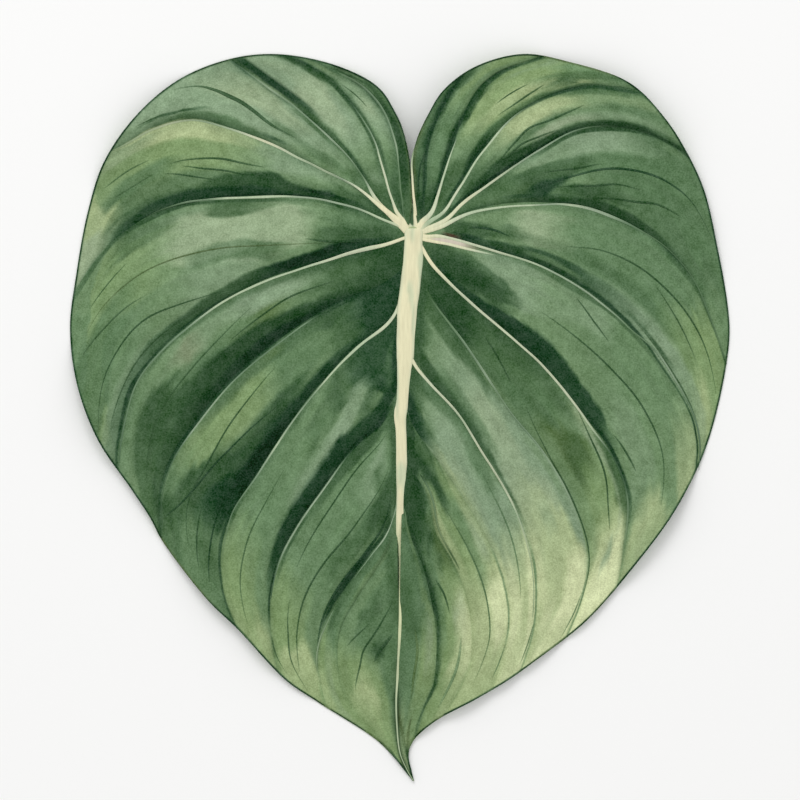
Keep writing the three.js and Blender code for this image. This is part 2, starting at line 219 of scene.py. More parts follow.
def srgb(word):
    """An sRGB hex word as an array from 0 to 1."""
    return np.array([int(word[i : i + 2], 16) / 255 for i in (1, 3, 5)])


def linear(colour):
    """Linear light of an sRGB colour, a hex word or an array from 0 to 1, by the sRGB curve."""
    c = srgb(colour) if isinstance(colour, str) else colour
    return np.where(c <= 0.04045, c / 12.92, ((c + 0.055) / 1.055) ** 2.4)


def mixed(colour, tint, share):
    """A colour moved towards a tint by a share from 0 to 1."""
    return colour + (tint - colour) * share[..., None]


# The greens of the blade from dark to light, with two browns, and the creams of its veins. The darkest
# greens also serve as painted shade beside the veins.
GREENS = {
    "ink": "#10301a",
    "pine": "#1f3f26",
    "deep": "#2b4a2b",
    "forest": "#395736",
    "moss": "#476541",
    "olive": "#566f40",
    "umber": "#50643d",
    "mid": "#577551",
    "jade": "#63815c",
    "leaf": "#6f8b64",
    "fresh": "#7f9867",
    "sage": "#839b7b",
    "mist": "#97aa87",
    "butter": "#abba8a",
    "straw": "#d2dbac",
    "clay": "#84896c",
    "rust": "#553a2f",
}
CREAMS = {
    "cream": "#e6e1bb",
    "ivory": "#d9dbb8",
    "bone": "#c8d1b2",
    "rose": "#d2c8b6",
    "pale": "#b5c6a5",
    "dusk": "#9cb094",
    "dim": "#859e80",
    "faint": "#708c69",
}
TINTS = {name: srgb(word) for name, word in (GREENS | CREAMS).items()}


# Curves and tables

def eased(table, place):
    """Value at each place of a table of (place, value) pairs.

    Between two entries the share t of the way runs as t*t*(3-2t), so the bends are round.
    """
    places, values = np.array(sorted(table), float).T
    place = np.clip(place, places[0], places[-1])
    i = np.clip(np.searchsorted(places, place, side="right") - 1, 0, len(places) - 2)
    t = (place - places[i]) / (places[i + 1] - places[i])
    return values[i] + (values[i + 1] - values[i]) * t * t * (3 - 2 * t)


def flowing(places, values, place):
    """Value at each place on the smooth line through (place, value) knots.

    Each stretch is a cubic whose slopes at its ends are those of the line through the knots on
    either side.
    """
    places = np.asarray(places, float)
    values = np.asarray(values, float)
    slopes = np.gradient(values, places) if len(places) > 2 else np.full(
        len(places), (values[-1] - values[0]) / (places[-1] - places[0]))
    place = np.clip(place, places[0], places[-1])
    i = np.clip(np.searchsorted(places, place, side="right") - 1, 0, len(places) - 2)
    step = places[i + 1] - places[i]
    t = (place - places[i]) / step
    rise = values[i + 1] - values[i]
    bend = (1 - t) * (slopes[i] * step - rise) - t * (slopes[i + 1] * step - rise)
    return values[i] + t * rise + t * (1 - t) * bend


def smooth(low, high, value):
    """0 below low, 1 above high, and t*t*(3-2t) between."""
    t = np.clip((value - low) / (high - low), 0, 1)
    return t * t * (3 - 2 * t)


def curve_through(points):
    """The centripetal spline through plan points, as a function of the share of its length.

    Each stretch is a cubic whose slopes come from the square roots of the distances between the
    points, and the ends are carried on straight.
    """
    p = np.array(points, float)
    p = np.vstack([2 * p[0] - p[1], p, 2 * p[-1] - p[-2]])
    a, b, c, d = p[:-3], p[1:-2], p[2:-1], p[3:]
    gap = [np.sqrt(np.linalg.norm(q - o, axis=1))[:, None] for o, q in ((a, b), (b, c), (c, d))]
    start = ((b - a) / gap[0] - (c - a) / (gap[0] + gap[1]) + (c - b) / gap[1]) * gap[1]
    end = ((c - b) / gap[1] - (d - b) / (gap[1] + gap[2]) + (d - c) / gap[2]) * gap[1]
    t = np.linspace(0, 1, 200)[None, :, None]
    b, c, start, end = (v[:, None, :] for v in (b, c, start, end))
    square, cube = 3 * (c - b) - 2 * start - end, 2 * (b - c) + start + end
    fine = b + start * t + square * t**2 + cube * t**3
    fine = fine.reshape(-1, 2)
    run = np.concatenate([[0], np.cumsum(np.linalg.norm(np.diff(fine, axis=0), axis=1))])
    share = run / run[-1]

    def at(s):
        return np.stack([np.interp(s, share, fine[:, k]) for k in (0, 1)], -1)

    return at


def nearest_share(curve, point):
    """The share of a curve's length at which it comes nearest to a point."""
    shares = np.linspace(0, 1, 2401)
    return shares[np.argmin(np.linalg.norm(curve(shares) - np.array(point), axis=1))]


def drift(x, y, size, seed):
    """Smooth noise from -1 to 1: seeded values on a lattice of `size` mm, eased in between."""
    lattice = np.random.default_rng(seed).uniform(-1, 1, (257, 257))
    u, v = x / size + 1000, y / size + 1000
    i, j = np.floor(u).astype(int), np.floor(v).astype(int)
    f, g = u - i, v - j
    f, g = f * f * (3 - 2 * f), g * g * (3 - 2 * g)
    i, j = i % 256, j % 256
    low = lattice[i, j] * (1 - f) + lattice[i + 1, j] * f
    high = lattice[i, j + 1] * (1 - f) + lattice[i + 1, j + 1] * f
    return low * (1 - g) + high * g


# The form of the leaf

class LeafHalf:
    """One half of the blade: its outline, its inner line beside the midrib, and its guides.

    The guides are the sinus edge, the main veins and the last of the inner line. Sector k lies
    between guides k and k+1.
    """

    def __init__(self, side, edge, veins, shoulder, wave, marks, lines, late_fold_shade, shading_and_spots):
        self.side = side
        self.late_fold_shade = late_fold_shade
        self.shading_and_spots = shading_and_spots
        self.wave = wave
        self.marks = marks
        self.lines = lines
        self.outline = curve_through([self.beside(SINUS_BASE), *edge, self.beside(TIP)])
        self.inner = curve_through([self.beside(p) for p in (SINUS_BASE, *MIDRIB_LINE, TIP)])
        shares = np.linspace(0, 1, 4001)
        falling = self.inner(shares)[:, 1]
        shoulder_share = nearest_share(self.outline, shoulder)
        self.guides = [lambda s: self.outline(s * shoulder_share)]
        self.inner_share = [0.0]
        self.outer_share = [shoulder_share]
        for root_y, *points in veins:
            root_share = float(np.interp(-root_y, -falling, shares))
            end_share = nearest_share(self.outline, points[-1])
            path = [self.inner(root_share), *points[:-1], self.outline(end_share)]
            self.guides.append(curve_through(path))
            self.inner_share.append(root_share)
            self.outer_share.append(end_share)
        last_root = self.inner_share[-1]
        self.guides.append(lambda s: self.inner(last_root + (1 - last_root) * s))
        self.inner_share.append(last_root)
        self.outer_share.append(1.0)
        self.sectors = len(self.guides) - 1

    def beside(self, point):
        """A point of the midrib line moved to the side by a share of the midrib's half-width."""
        half = float(eased(MIDRIB_HALF_WIDTH, point[1]))
        return (point[0] + self.side * INNER_SHARE * half, point[1])

    def plan(self, k, t, s):
        """Plan places in sector k.

        A place is the mix by t of the two guides at s, moved onto the midrib's side at s = 0 by
        (1-s) squared of what is missing there, and onto the margin at s = 1 by s squared of it.
        """
        t, s = np.broadcast_arrays(np.asarray(t, float), np.asarray(s, float))
        share = t[..., None]
        near, far = self.guides[k], self.guides[k + 1]
        near_s, far_s = near(s), far(s)
        zero, one = np.zeros(1), np.ones(1)
        at_root = near(zero) * (1 - share) + far(zero) * share
        at_end = near(one) * (1 - share) + far(one) * share
        inner = self.inner(self.inner_share[k] * (1 - t) + self.inner_share[k + 1] * t)
        outer = self.outline(self.outer_share[k] * (1 - t) + self.outer_share[k + 1] * t)
        place = near_s * (1 - share) + far_s * share
        place = place + (inner - at_root) * ((1 - s) ** 2)[..., None]
        place = place + (outer - at_end) * (s**2)[..., None]
        width = np.linalg.norm(near_s - far_s, axis=-1)
        return place, inner, width

    def span(self, k, t, s):
        """Millimetres across the sector, square to its veins, for the whole way of t."""
        step = 1e-3
        low_t, high_t = np.clip(t - step, 0, 1), np.clip(t + step, 0, 1)
        low_s, high_s = np.clip(s - step, 0, 1), np.clip(s + step, 0, 1)
        across = self.plan(k, high_t, s)[0] - self.plan(k, low_t, s)[0]
        along = self.plan(k, t, high_s)[0] - self.plan(k, t, low_s)[0]
        across = across / (high_t - low_t)[..., None]
        length = np.maximum(np.linalg.norm(along, axis=-1), 1e-9)
        square = np.abs(across[..., 0] * along[..., 1] - across[..., 1] * along[..., 0]) / length
        return np.maximum(square, 1e-3)

    def to_margin(self, k, t, s, place, span):
        """About how far a place is from the margin, in millimetres, square to the margin.

        It is the way to the column's end on the margin, measured along the margin's normal, or
        in the first sector the way across to the sinus edge where that is shorter.
        """
        t = np.broadcast_to(t, place.shape[:-1])
        share = self.outer_share[k] * (1 - t) + self.outer_share[k + 1] * t
        end = self.outline(share)
        run = self.outline(np.minimum(share + 2e-4, 1)) - self.outline(np.maximum(share - 2e-4, 0))
        run = run / np.maximum(np.linalg.norm(run, axis=-1), 1e-9)[..., None]
        away = end - place
        distance = np.abs(away[..., 0] * run[..., 1] - away[..., 1] * run[..., 0])
        distance = np.where(s > 0.5, distance, 50)
        if k == 0:
            distance = np.minimum(distance, t * span)
        return distance

    def surface(self, k, t, s):
        """Places, top and underside heights, spans and margin distances in sector k.

        The middle surface falls from the midrib's arch to the margin's wave by s*s*(3-2s), and
        rises between two veins in a pillow, 1 - |2t' - 1| to the power 2.2, whose crest leans
        towards the tip's side. The fine lines are shallow grooves in its top, and the main
        veins are rounded ribs under it. The blade thins to its margin.
        """
        t, s = np.broadcast_arrays(np.asarray(t, float), np.asarray(s, float))
        place, inner, width = self.plan(k, t, s)
        span = self.span(k, t, s)
        fall = s * s * (3 - 2 * s)
        skewed = t - QUILT_SKEW * t * (1 - t)
        pillow = 1 - np.abs(2 * skewed - 1) ** 2.2
        fade = (1 - (1 - s) ** 7) * (1 - 0.5 * s * s)
        lift = QUILT_SHARE * np.minimum(width, QUILT_WIDEST_SPAN) * pillow * fade
        outer_share = self.outer_share[k] * (1 - t) + self.outer_share[k + 1] * t
        arch = eased(MIDRIB_ARCH, inner[..., 1])
        raw = arch + (eased(self.wave, outer_share) - arch) * fall + lift
        middle = np.maximum(raw, BLADE_THICKNESS / 2)

        to_margin = self.to_margin(k, t, s, place, span)
        gain = BLADE_THICKNESS - MARGIN_THICKNESS
        thickness = MARGIN_THICKNESS + gain * smooth(0, 4, to_margin)
        groove = self.grooves(k, t, s, span)
        depth = SIDE_RIB_DEPTH + (SIDE_RIB_END_DEPTH - SIDE_RIB_DEPTH) * s
        rib = np.zeros_like(s)
        for share, has_vein in ((t, k > 0), (1 - t, k < self.sectors - 1)):
            if has_vein:
                away = share * span / (1.5 * SIDE_RIB_HALF_WIDTH)
                rib = rib + np.clip(1 - away**2, 0, 1) ** 1.5
        top = middle + thickness / 2 - groove
        bottom = np.maximum(middle - thickness / 2 - depth * np.minimum(rib, 1), 0)
        return place, top, bottom, span, to_margin

    def grooves(self, k, t, s, span):
        """Depth of the fine veins' grooves: a bell curve across each line, fading at its ends."""
        depth = np.zeros_like(s)
        for sector, *_, path in self.lines:
            if sector != k:
                continue
            line_s, line_t = np.array(path, float).T
            away = (t - flowing(line_s, line_t, s)) * span
            ends = smooth(line_s[0] - 0.02, line_s[0] + 0.06, s)
            ends = ends * (1 - smooth(line_s[-1] - 0.06, line_s[-1] + 0.02, s))
            depth = np.maximum(depth, GROOVE_DEPTH * ends * np.exp(-((away / GROOVE_WIDTH) ** 2)))
        return depth


def placed(points):
    """Points in the leaf's own millimetres as points of the frame, in metres."""
    return (np.asarray(points, float) + FRAME_SHIFT) * FRAME_FIT * MM


# The colours of the blade

# Broad washes: colour, strength, centre, half-sizes and turn in degrees, all in plan mm.
WASHES = [
    ("sage", 0.6, (-67, 63), (62, 26), 20),
    ("fresh", 0.6, (-140, 48), (30, 26), 60),
    ("sage", 0.5, (-110, 2), (52, 13), 8),
    ("fresh", 0.6, (56, 70), (28, 17), 20),
    ("mid", 0.5, (120, 38), (34, 26), -40),
    ("jade", 0.6, (118, -52), (40, 55), 20),
    ("fresh", 0.6, (152, -60), (9, 50), 4),
    ("butter", 0.8, (70, -186), (46, 30), 48),
    ("fresh", 0.6, (-62, -222), (44, 12), -38),
    ("mid", 0.5, (-128, -98), (26, 30), 30),
]


def washed(x, y):
    """Broad washes laid over the mid green, each a soft-edged oval with a wandering edge."""
    colour = np.broadcast_to(TINTS["leaf"], x.shape + (3,))
    wander = 0.16 * drift(x, y, 22, 11) + 0.1 * drift(x, y, 9, 12)
    for name, strength, (cx, cy), (rx, ry), turn in WASHES:
        a = np.radians(turn)
        u = ((x - cx) * np.cos(a) + (y - cy) * np.sin(a)) / rx
        v = ((y - cy) * np.cos(a) - (x - cx) * np.sin(a)) / ry
        share = strength * (1 - smooth(0.35, 1.35, np.hypot(u, v) + wander))
        colour = mixed(colour, TINTS[name], share)
    return colour


def opened(stops):
    """The columns of a list of stops, with each bare s at an end filled in."""
    beside = {0: 1, len(stops) - 1: -2}
    rows = [(stop, *stops[beside[i]][1:-1], 0) if np.isscalar(stop) else stop
            for i, stop in enumerate(stops)]
    return np.array(rows, float).T


def marked(half, k, t, s, x, y, span, colour):
    """Strokes that follow the veins, laid over the washes one after another.

    A stroke is a line t(s) with a half-width and a cover, all smooth in s. Its share is its cover inside
    and falls to 0 over its softness. Seeded waves move its edges a little, and longer ones that run with
    the veins feather them. The dark strokes along the veins are painted shade of the folds, partly the
    blade's own darker green.
    """
    across = t * span
    lane = across + 300 * k
    feather = drift(lane, s * 60, 2.4, 24) * 0.5 + drift(lane, s * 9, 1.5, 25)
    sway = (0.6 * drift(x, y, 7, 21) + 0.3 * drift(x, y, 2.6, 22) + 0.5 * feather) / span
    slide = 0.012 * drift(x, y, 9, 23) + 0.012 * feather
    for sector, name, softness, stops in half.marks:
        if sector != k:
            continue
        mark_s, mark_t, mark_half, mark_cover = opened(stops)
        along = s + slide
        away = np.abs(t + sway - flowing(mark_s, mark_t, along)) * span
        reach = flowing(mark_s, mark_half, along) * span
        soft = np.minimum(0.7 * softness, 0.13 * span + 0.3)
        cover = np.interp(along, mark_s, mark_cover, left=0, right=mark_cover[-1])
        share = cover * smooth(-soft, soft, reach - away)
        colour = mixed(colour, TINTS[name], share)
    return colour * (1 + 0.035 * feather * smooth(0.05, 0.3, s))[..., None]


def blade_colour(half, k, t, s, place, span):
    """sRGB colour of the blade's top at places of sector k.

    Painted shade darkens the folds beside its main veins, by a wide bell curve and a narrow one that
    deepens half way out. Both fade towards the margin by the guide's own late share. Bands of painted
    shade and painted light, and a rust spot, run along the veins at their own offset in mm. The blade is
    darker along the margin too.
    """
    x, y = place[..., 0], place[..., 1]
    colour = marked(half, k, t, s, x, y, span, washed(x, y))
    for guide, away in ((k, t * span), (k + 1, (1 - t) * span)):
        if 0 < guide < half.sectors:
            # Painted shade: the fold and crease beside each main vein are darkened towards ink.
            thin = (0.1 + 0.22 * smooth(0.35, 0.6, s)) * np.exp(-((away / CREASE_SHADE_WIDTH) ** 2))
            painted_fold_shade = thin + 0.16 * np.exp(-((away / FOLD_SHADE_WIDTH) ** 2))
            painted_fold_shade = painted_fold_shade * (1 - (1 - half.late_fold_shade[guide - 1]) * smooth(0.25, 0.6, s))
            painted_fold_shade = painted_fold_shade * smooth(0.02, 0.12, s) * (0.75 + 0.5 * drift(x, y, 11, 26))
            colour = mixed(colour, TINTS["ink"], 0.75 * np.clip(1.6 * painted_fold_shade, 0, 1))
    # Bands of painted shade and painted light along the veins, and one rust spot.
    for guide, away in ((k, t * span), (k + 1, (t - 1) * span)):
        for shaded, name, stops in half.shading_and_spots:
            if shaded != guide:
                continue
            shade_s, wide, shift, cover = opened(stops)
            off = np.abs(away - flowing(shade_s, shift, s) + 0.15 * drift(x, y, 3, 28))
            wide = np.interp(s, shade_s, wide)
            share = np.interp(s, shade_s, cover, left=0, right=cover[-1])
            share = share * (1 - smooth(wide - 0.35, wide + 0.25, off))
            colour = mixed(colour, TINTS[name], share)
    edge = half.to_margin(k, t, s, place, span)
    line = (1 - smooth(0.5, 1.3, edge)) * (0.75 + 0.25 * drift(x, y, 5, 27))
    rim = mixed(TINTS["pine"], TINTS["umber"], smooth(-0.1, 0.5, drift(x, y, 40, 29)))
    return mixed(colour, rim, line)


# Strokes, one laid over another: sector, colour, softness in mm, then stops of s, t, half-width as a
# share of the way across the sector, and cover. A bare s is a stop like its neighbour, with no cover.
# The dark strokes along the veins are painted shade of the folds, partly the blade's own darker green,
# and the paler strokes on the pillows between them are partly painted light.
LEFT_MARKS = [
    (0, "moss", 3, [(0, .5, .6, 1), (.75, .45, .5, .8), .95]),
    (0, "jade", 2, [.25, (.4, .98, .18, .8), (.6, 1, .2, .5), (1, .7, .6, .8)]),
    (0, "deep", 1.5, [.12, (.2, .52, .3, .9), (.33, .55, .33, 1), (.5, .56, .32, 1), (.6, .58, .25, .8),
     (.7, .5, .15, 0)]),
    (1, "mid", 3, [(0, .5, .6, 1), (.25, .5, .6, .9), .42]),
    (1, "forest", 2, [(.06, .1, .15, .4), (.12, .1, .2, 1), (.18, .4, .35, .9), (.26, .35, .3, .4),
     .32]),
    (1, "sage", 3, [.38, (.5, .4, .4, .8), (.6, .5, .4, .8), .8]),
    (1, "mist", 2, [.52, (.6, .52, .25, .8), .7]),
    (1, "mid", 1.5, [.35, (.45, 1, .14, .7), (.6, 1, .16, .9), (.8, .98, .2, .9), (1, .9, .3, .8)]),
    (1, "forest", 1.5, [.68, (.78, .98, .16, 1), (1, .9, .2, .8)]),
    (1, "sage", 2, [.74, (.84, .4, .42, .7), (1, .4, .42, .6)]),
    (1, "sage", 1.5, [.38, (.5, .12, .14, .5), (.65, .15, .14, .5), .72]),
    (1, "fresh", 2, [.78, (.86, .35, .4, .5), (1, .35, .4, .5)]),
    (2, "moss", 3, [(.05, .5, .6, .6), (.15, .5, .6, 1), (.22, .55, .5, .9), .36]),
    (2, "sage", 3, [.34, (.45, .45, .35, .7), (.6, .5, .35, 1), (.9, .5, .35, 1)]),
    (2, "mist", 2.5, [.44, (.55, .58, .2, .7), (.7, .48, .28, .9), (.78, .35, .2, .7),
     (.85, .4, .15, .3), (.93, .5, .15, .4), 1]),
    (2, "moss", 1.2, [(.2, 1, .05, 0), (.28, 1, .15, .9), (.5, 1, .17, 1), (.65, 1, .17, 1),
     (.8, 1, .14, .9), (1, 1, .15, .9)]),
    (2, "forest", 1.2, [.6, (.68, 1, .12, 1), (.82, 1, .06, .4), (.9, 1, .12, 1), (1, 1, .13, .8)]),
    (2, "forest", 1.2, [(.7, 0, .05, 0), (.78, 0, .16, .8), (.9, 0, .2, 1), (1, 0, .16, .8)]),
    (2, "sage", 2, [.2, (.26, .38, .3, .6), .33]),
    (3, "moss", 2.5, [.1, (.25, .2, .4, .8), .4]),
    (3, "sage", 3, [(.32, .35, .25, .2), (.45, .35, .3, .9), (.6, .4, .4, 1), (1, .4, .45, 1)]),
    (3, "mist", 2.5, [.48, (.6, .27, .14, .8), (.7, .24, .18, 1), (.8, .18, .2, 1), (1, .25, .1, 0)]),
    (3, "mid", 1.5, [.42, (.5, .98, .12, .8), (.6, 1, .17, .9), (.8, .96, .15, .9), (1, .95, .1, .5)]),
    (3, "jade", 2, [.18, (.25, .2, .2, .6), .31]),
    (3, "moss", 1.5, [.3, (.36, .52, .2, .6), (.45, .55, .1, .4), (.55, .5, .08, .6), .6]),
    (3, "sage", 1.5, [.8, (.88, .9, .12, .7), (1, .9, .1, .6)]),
    (4, "forest", 2.5, [(0, .4, .6, .7), (.1, .3, .6, 1), (.22, .6, .3, .7), (.28, .7, .2, .3)]),
    (4, "sage", 3, [.22, (.32, .15, .2, .8), (.42, .2, .22, .9), (.5, .12, .15, .7), .55]),
    (4, "fresh", 3, [.45, (.6, .3, .25, .8), (.8, .3, .25, .9), (.88, .2, .2, .4), (1, .3, .3, .7)]),
    (4, "butter", 1.5, [.5, (.58, .06, .12, .7), (.7, .05, .16, 1), (.82, .06, .14, 1),
     (.9, .05, .1, .3), .95]),
    (4, "butter", 2, [(.82, .75, .1, 0), (.9, .78, .2, .8), (1, .6, .3, .7)]),
    (4, "deep", 1.5, [(.14, .8, .15, .6), (.25, .82, .2, .95), (.35, .8, .24, 1), (.42, .75, .28, 1),
     (.5, .76, .22, .9), (.55, .78, .16, .6), (.6, .9, .12, .5)]),
    (4, "pine", 1.5, [(.3, .97, .08, .4), (.4, .95, .15, 1), (.7, .96, .12, .9), (.8, .97, .1, .6),
     .87]),
    (4, "straw", 1.5, [(0, .85, .3, .5), (.06, .85, .2, 0)]),
    (4, "mid", 2, [.1, (.15, .3, .3, .6), .2]),
    (4, "forest", 1.5, [.19, (.24, .3, .12, .6), .29]),
    (4, "ink", 1.5, [.2, (.25, .75, .14, .5), .31]),
    (4, "mid", 1.5, [.68, (.76, .5, .1, .8), (.86, .5, .1, .8), .92]),
    (4, "mist", 1.5, [(.8, .92, .06, 0), (.87, .9, .12, .7), (.93, .88, .16, 1), (1, .85, .2, 1)]),
    (4, "mist", 1.5, [.8, (.88, .08, .1, .5), (1, .08, .1, .6)]),
    (5, "mid", 2.5, [(0, .3, .6, 1), (.12, .3, .5, 1), (.2, .15, .25, .8), .25]),
    (5, "forest", 3, [(0, .5, .4, .4), (.08, .6, .4, .9), (.15, .6, .3, 1), (.22, .62, .2, .7), .27]),
    (5, "mist", 2.5, [(.24, .4, .15, 0), (.3, .4, .28, .9), (.38, .4, .35, .8), (.5, .35, .25, .9),
     (.6, .3, .2, .8), (.68, .25, .1, 0)]),
    (5, "sage", 2.5, [.33, (.42, .7, .2, .7), (.55, .72, .2, .6), .65]),
    (5, "moss", 1.5, [(.32, .03, .05, 0), (.38, .05, .1, .5), (.45, .06, .14, .9), (.52, .05, .12, .8),
     (.56, .04, .08, 0)]),
    (5, "jade", 2, [.66, (.75, .7, .25, .7), (.85, .7, .25, .5), (.95, .5, .3, .5), (1, .4, .3, .6)]),
    (5, "fresh", 2, [.6, (.72, .35, .22, .6), (.85, .3, .25, .6), (.95, .75, .2, .7), (1, .8, .2, .5)]),
    (5, "ink", 1.5, [(.03, .85, .1, .5), (.1, .82, .16, 1), (.2, .88, .15, 1), (.3, .92, .1, 1),
     (.38, .93, .09, .8), (.45, .95, .06, .5)]),
    (5, "forest", 1.2, [.34, (.42, .94, .1, .9), (.52, .95, .08, .9), (.75, .98, .03, 0)]),
    (5, "forest", 1.5, [(0, .65, .2, .6), (.08, .68, .2, .7), .14]),
    (5, "jade", 1.5, [.1, (.15, .28, .15, .6), .2]),
    (5, "moss", 1.5, [(.3, .7, .08, 0), (.36, .66, .12, .7), (.42, .56, .1, .7), (.55, .5, .08, .7),
     (.6, .48, .05, 0)]),
    (5, "moss", 1.2, [(.6, .06, .08, 0), (.7, .08, .12, .6), (.78, .08, .1, .6), .84]),
    (5, "mid", 2, [.7, (.8, .52, .15, .7), (.88, .6, .2, .8), (1, .6, .2, .8)]),
    (5, "sage", 1.5, [.62, (.75, .92, .08, .4), (.95, .92, .08, .6)]),
    (5, "pine", 1.5, [.08, (.14, .9, .12, .7), .2]),
    (5, "sage", 1.5, [.4, (.47, .5, .07, .6), (.56, .5, .06, .5), .6]),
    (6, "deep", 4, [(0, .5, .6, 1), (.12, .5, .6, .9), .3]),
    (6, "moss", 3, [.06, (.12, .35, .2, .5), (.2, .4, .25, .9), .32]),
    (6, "sage", 2.5, [.22, (.3, .26, .16, .9), (.42, .24, .17, 1), (.5, .18, .12, .5),
     (.6, .25, .16, .5), (.7, .2, .1, .1)]),
    (6, "olive", 2, [.3, (.38, .52, .12, .7), (.5, .54, .12, .7), .56]),
    (6, "deep", 1.8, [(.08, .9, .12, .4), (.2, .9, .14, .8), (.3, .85, .18, 1), (.4, .8, .22, 1),
     (.5, .8, .24, 1), (.6, .76, .27, 1), (.7, .78, .25, .9), .86]),
    (6, "ink", 1.5, [(.12, .97, .06, 0), (.33, .94, .12, 1), (.42, .93, .12, .9), (.5, .94, .1, .6),
     (.6, .95, .1, .4), .68]),
    (6, "forest", 2.5, [.55, (.65, .55, .15, .7), (.78, .5, .25, 1), (.86, .55, .3, .7),
     (1, .8, .3, .6)]),
    (6, "clay", 2, [.55, (.62, .28, .14, .5), (.68, .28, .1, 0)]),
    (6, "forest", 1.5, [(.18, .06, .08, .5), (.26, .07, .1, .6), (.4, .06, .07, .4), (.55, .06, .06, .4),
     (.62, .05, .05, 0)]),
    (6, "jade", 1.5, [(.38, .48, .06, 0), (.46, .48, .09, .8), (.68, .48, .07, .8), (.73, .48, .05, 0)]),
    (6, "deep", 1.5, [(.7, .9, .1, .3), (.8, .9, .12, .6), (.9, .9, .1, .5), (.95, .9, .08, 0)]),
    (7, "pine", 4, [(0, .5, .6, 1), (.14, .5, .6, .9), .26]),
    (7, "moss", 3, [.14, (.2, .65, .25, .8), (.33, .5, .3, 0)]),
    (7, "mid", 3, [.24, (.3, .35, .35, .6), (.4, .35, .4, .7), .47]),
    (7, "fresh", 2.5, [.4, (.5, .35, .2, .8), (.6, .3, .2, .9), (.7, .22, .18, .7), (.76, .12, .1, .3),
     .8]),
    (7, "pine", 1.5, [(.16, .96, .08, .3), (.3, .92, .11, 1), (.4, .92, .11, 1), (.5, .86, .17, 1),
     (.58, .84, .2, 1), (.66, .76, .26, 1), (.72, .72, .26, 1), (.78, .7, .22, .6), (.84, .7, .15, 0)]),
    (7, "forest", 2, [.46, (.52, .68, .1, .9), (.6, .66, .12, .7), (.68, .55, .14, .9),
     (.78, .38, .14, 1), (.84, .32, .14, .6), (.9, .12, .14, .8), .95]),
    (7, "ink", 1.2, [(.4, .98, .04, 0), (.48, .95, .1, 1), (.6, .93, .12, .9), (.68, .92, .1, .3), .72]),
    (7, "mid", 2.5, [.78, (.85, .6, .3, .6), (1, .6, .4, .6)]),
    (7, "forest", 1.5, [(.17, .12, .15, .3), (.24, .15, .2, 1), (.3, .12, .12, .4), (.4, .1, .1, .4),
     (.6, .1, .08, .4), (.68, .1, .05, 0)]),
    (7, "deep", 1.5, [.3, (.38, .73, .1, .6), (.45, .7, .12, .9), (.5, .7, .1, .4), .55]),
    (7, "forest", 1.5, [.58, (.65, .5, .08, .6), .72]),
    (7, "forest", 2, [.78, (.86, .22, .16, .5), (.95, .2, .15, .5)]),
    (7, "moss", 2, [.78, (.85, .82, .2, .9), (.95, .8, .1, 0)]),
    (8, "pine", 3, [(0, .3, .6, 1), (.08, .3, .5, 1), (.14, .25, .35, .9), (.19, .2, .25, .6),
     (.24, .15, .15, 0)]),
    (8, "sage", 1.5, [(.12, .55, .05, 0), (.17, .55, .16, .7), (.24, .68, .13, .9), (.32, .7, .1, .9),
     .44]),
    (8, "moss", 1.5, [(.2, .42, .06, 0), (.28, .48, .08, .7), .34]),
    (8, "jade", 3, [(.25, .2, .3, .3), (.6, .4, .5, .7), (.75, .4, .4, .2)]),
    (8, "fresh", 3, [.66, (.8, .3, .4, .8), (.9, .4, .5, 1), (1, .5, .6, .9)]),
    (8, "butter", 3, [.82, (.9, .85, .2, .6), 1]),
    (8, "pine", 1.5, [(0, .9, .15, 1), (.2, .92, .1, .8), (.3, .88, .13, 1), (.4, .88, .14, 1),
     (.5, .88, .14, 1), (.6, .92, .12, 1), (.7, .96, .08, .7), (.78, 1, .04, 0)]),
    (8, "mid", 1.5, [(.03, .6, .2, .3), (.06, .6, .2, .6), (.1, .6, .1, 0)]),
    (8, "forest", 1.2, [.1, (.15, .72, .12, .8), (.19, .78, .08, 0)]),
    (8, "forest", 1.5, [.18, (.25, .3, .22, .8), (.31, .3, .15, .2), (.36, .4, .15, .4), .42]),
    (8, "sage", 1.5, [.3, (.38, .7, .09, .6), (.48, .7, .09, .7), (.54, .7, .06, 0)]),
    (8, "mid", 1.5, [(.03, .3, .3, .2), (.1, .3, .3, .3), .17]),
    (8, "butter", 2, [.86, (.95, .5, .5, .35), (1, .5, .5, .4)]),
    (9, "jade", 3, [(.02, .5, .6, .8), (.55, .5, .6, .6), .68]),
    (9, "forest", 2, [(0, .5, .6, .8), (.05, .5, .6, .8), .08]),
    (9, "forest", 1.2, [(.05, .08, .06, .5), (.12, .08, .08, .9), (.2, .08, .1, 1), (.4, .05, .06, .5),
     .5]),
    (9, "sage", 2, [.08, (.12, .38, .14, .8), (.2, .45, .14, .6), .28]),
    (9, "forest", 1.5, [(.06, .75, .15, .6), (.12, .8, .2, 1), (.2, .78, .16, 1), (.26, .75, .1, .6),
     (.34, .75, .08, .4), .42]),
    (9, "moss", 1.5, [(.18, .92, .08, .6), (.5, .93, .1, 1), (.66, .97, .05, 0)]),
    (9, "fresh", 3, [.6, (.72, .3, .4, .8), (.85, .4, .5, 1), (1, .5, .6, 1)]),
    (9, "butter", 2.5, [(.75, .75, .1, 0), (.82, .78, .16, .8), (.9, .6, .4, .7), (1, .5, .4, .5)]),
    (9, "moss", 1.2, [.1, (.15, .5, .12, .8), (.2, .5, .08, 0)]),
    (9, "moss", 1.5, [.3, (.36, .7, .1, .8), (.47, .7, .09, .8), .53]),
    (10, "mid", 3, [(0, .5, .7, 1), (.5, .5, .7, .9), .7]),
    (10, "moss", 2, [.2, (.3, .2, .25, .7), (.52, .08, .15, .8), .6]),
    (10, "fresh", 3, [.6, (.7, .5, .6, .9), (1, .5, .6, 1)]),
    (10, "butter", 2.5, [.75, (.88, .2, .3, .5), (1, .3, .3, .4)]),
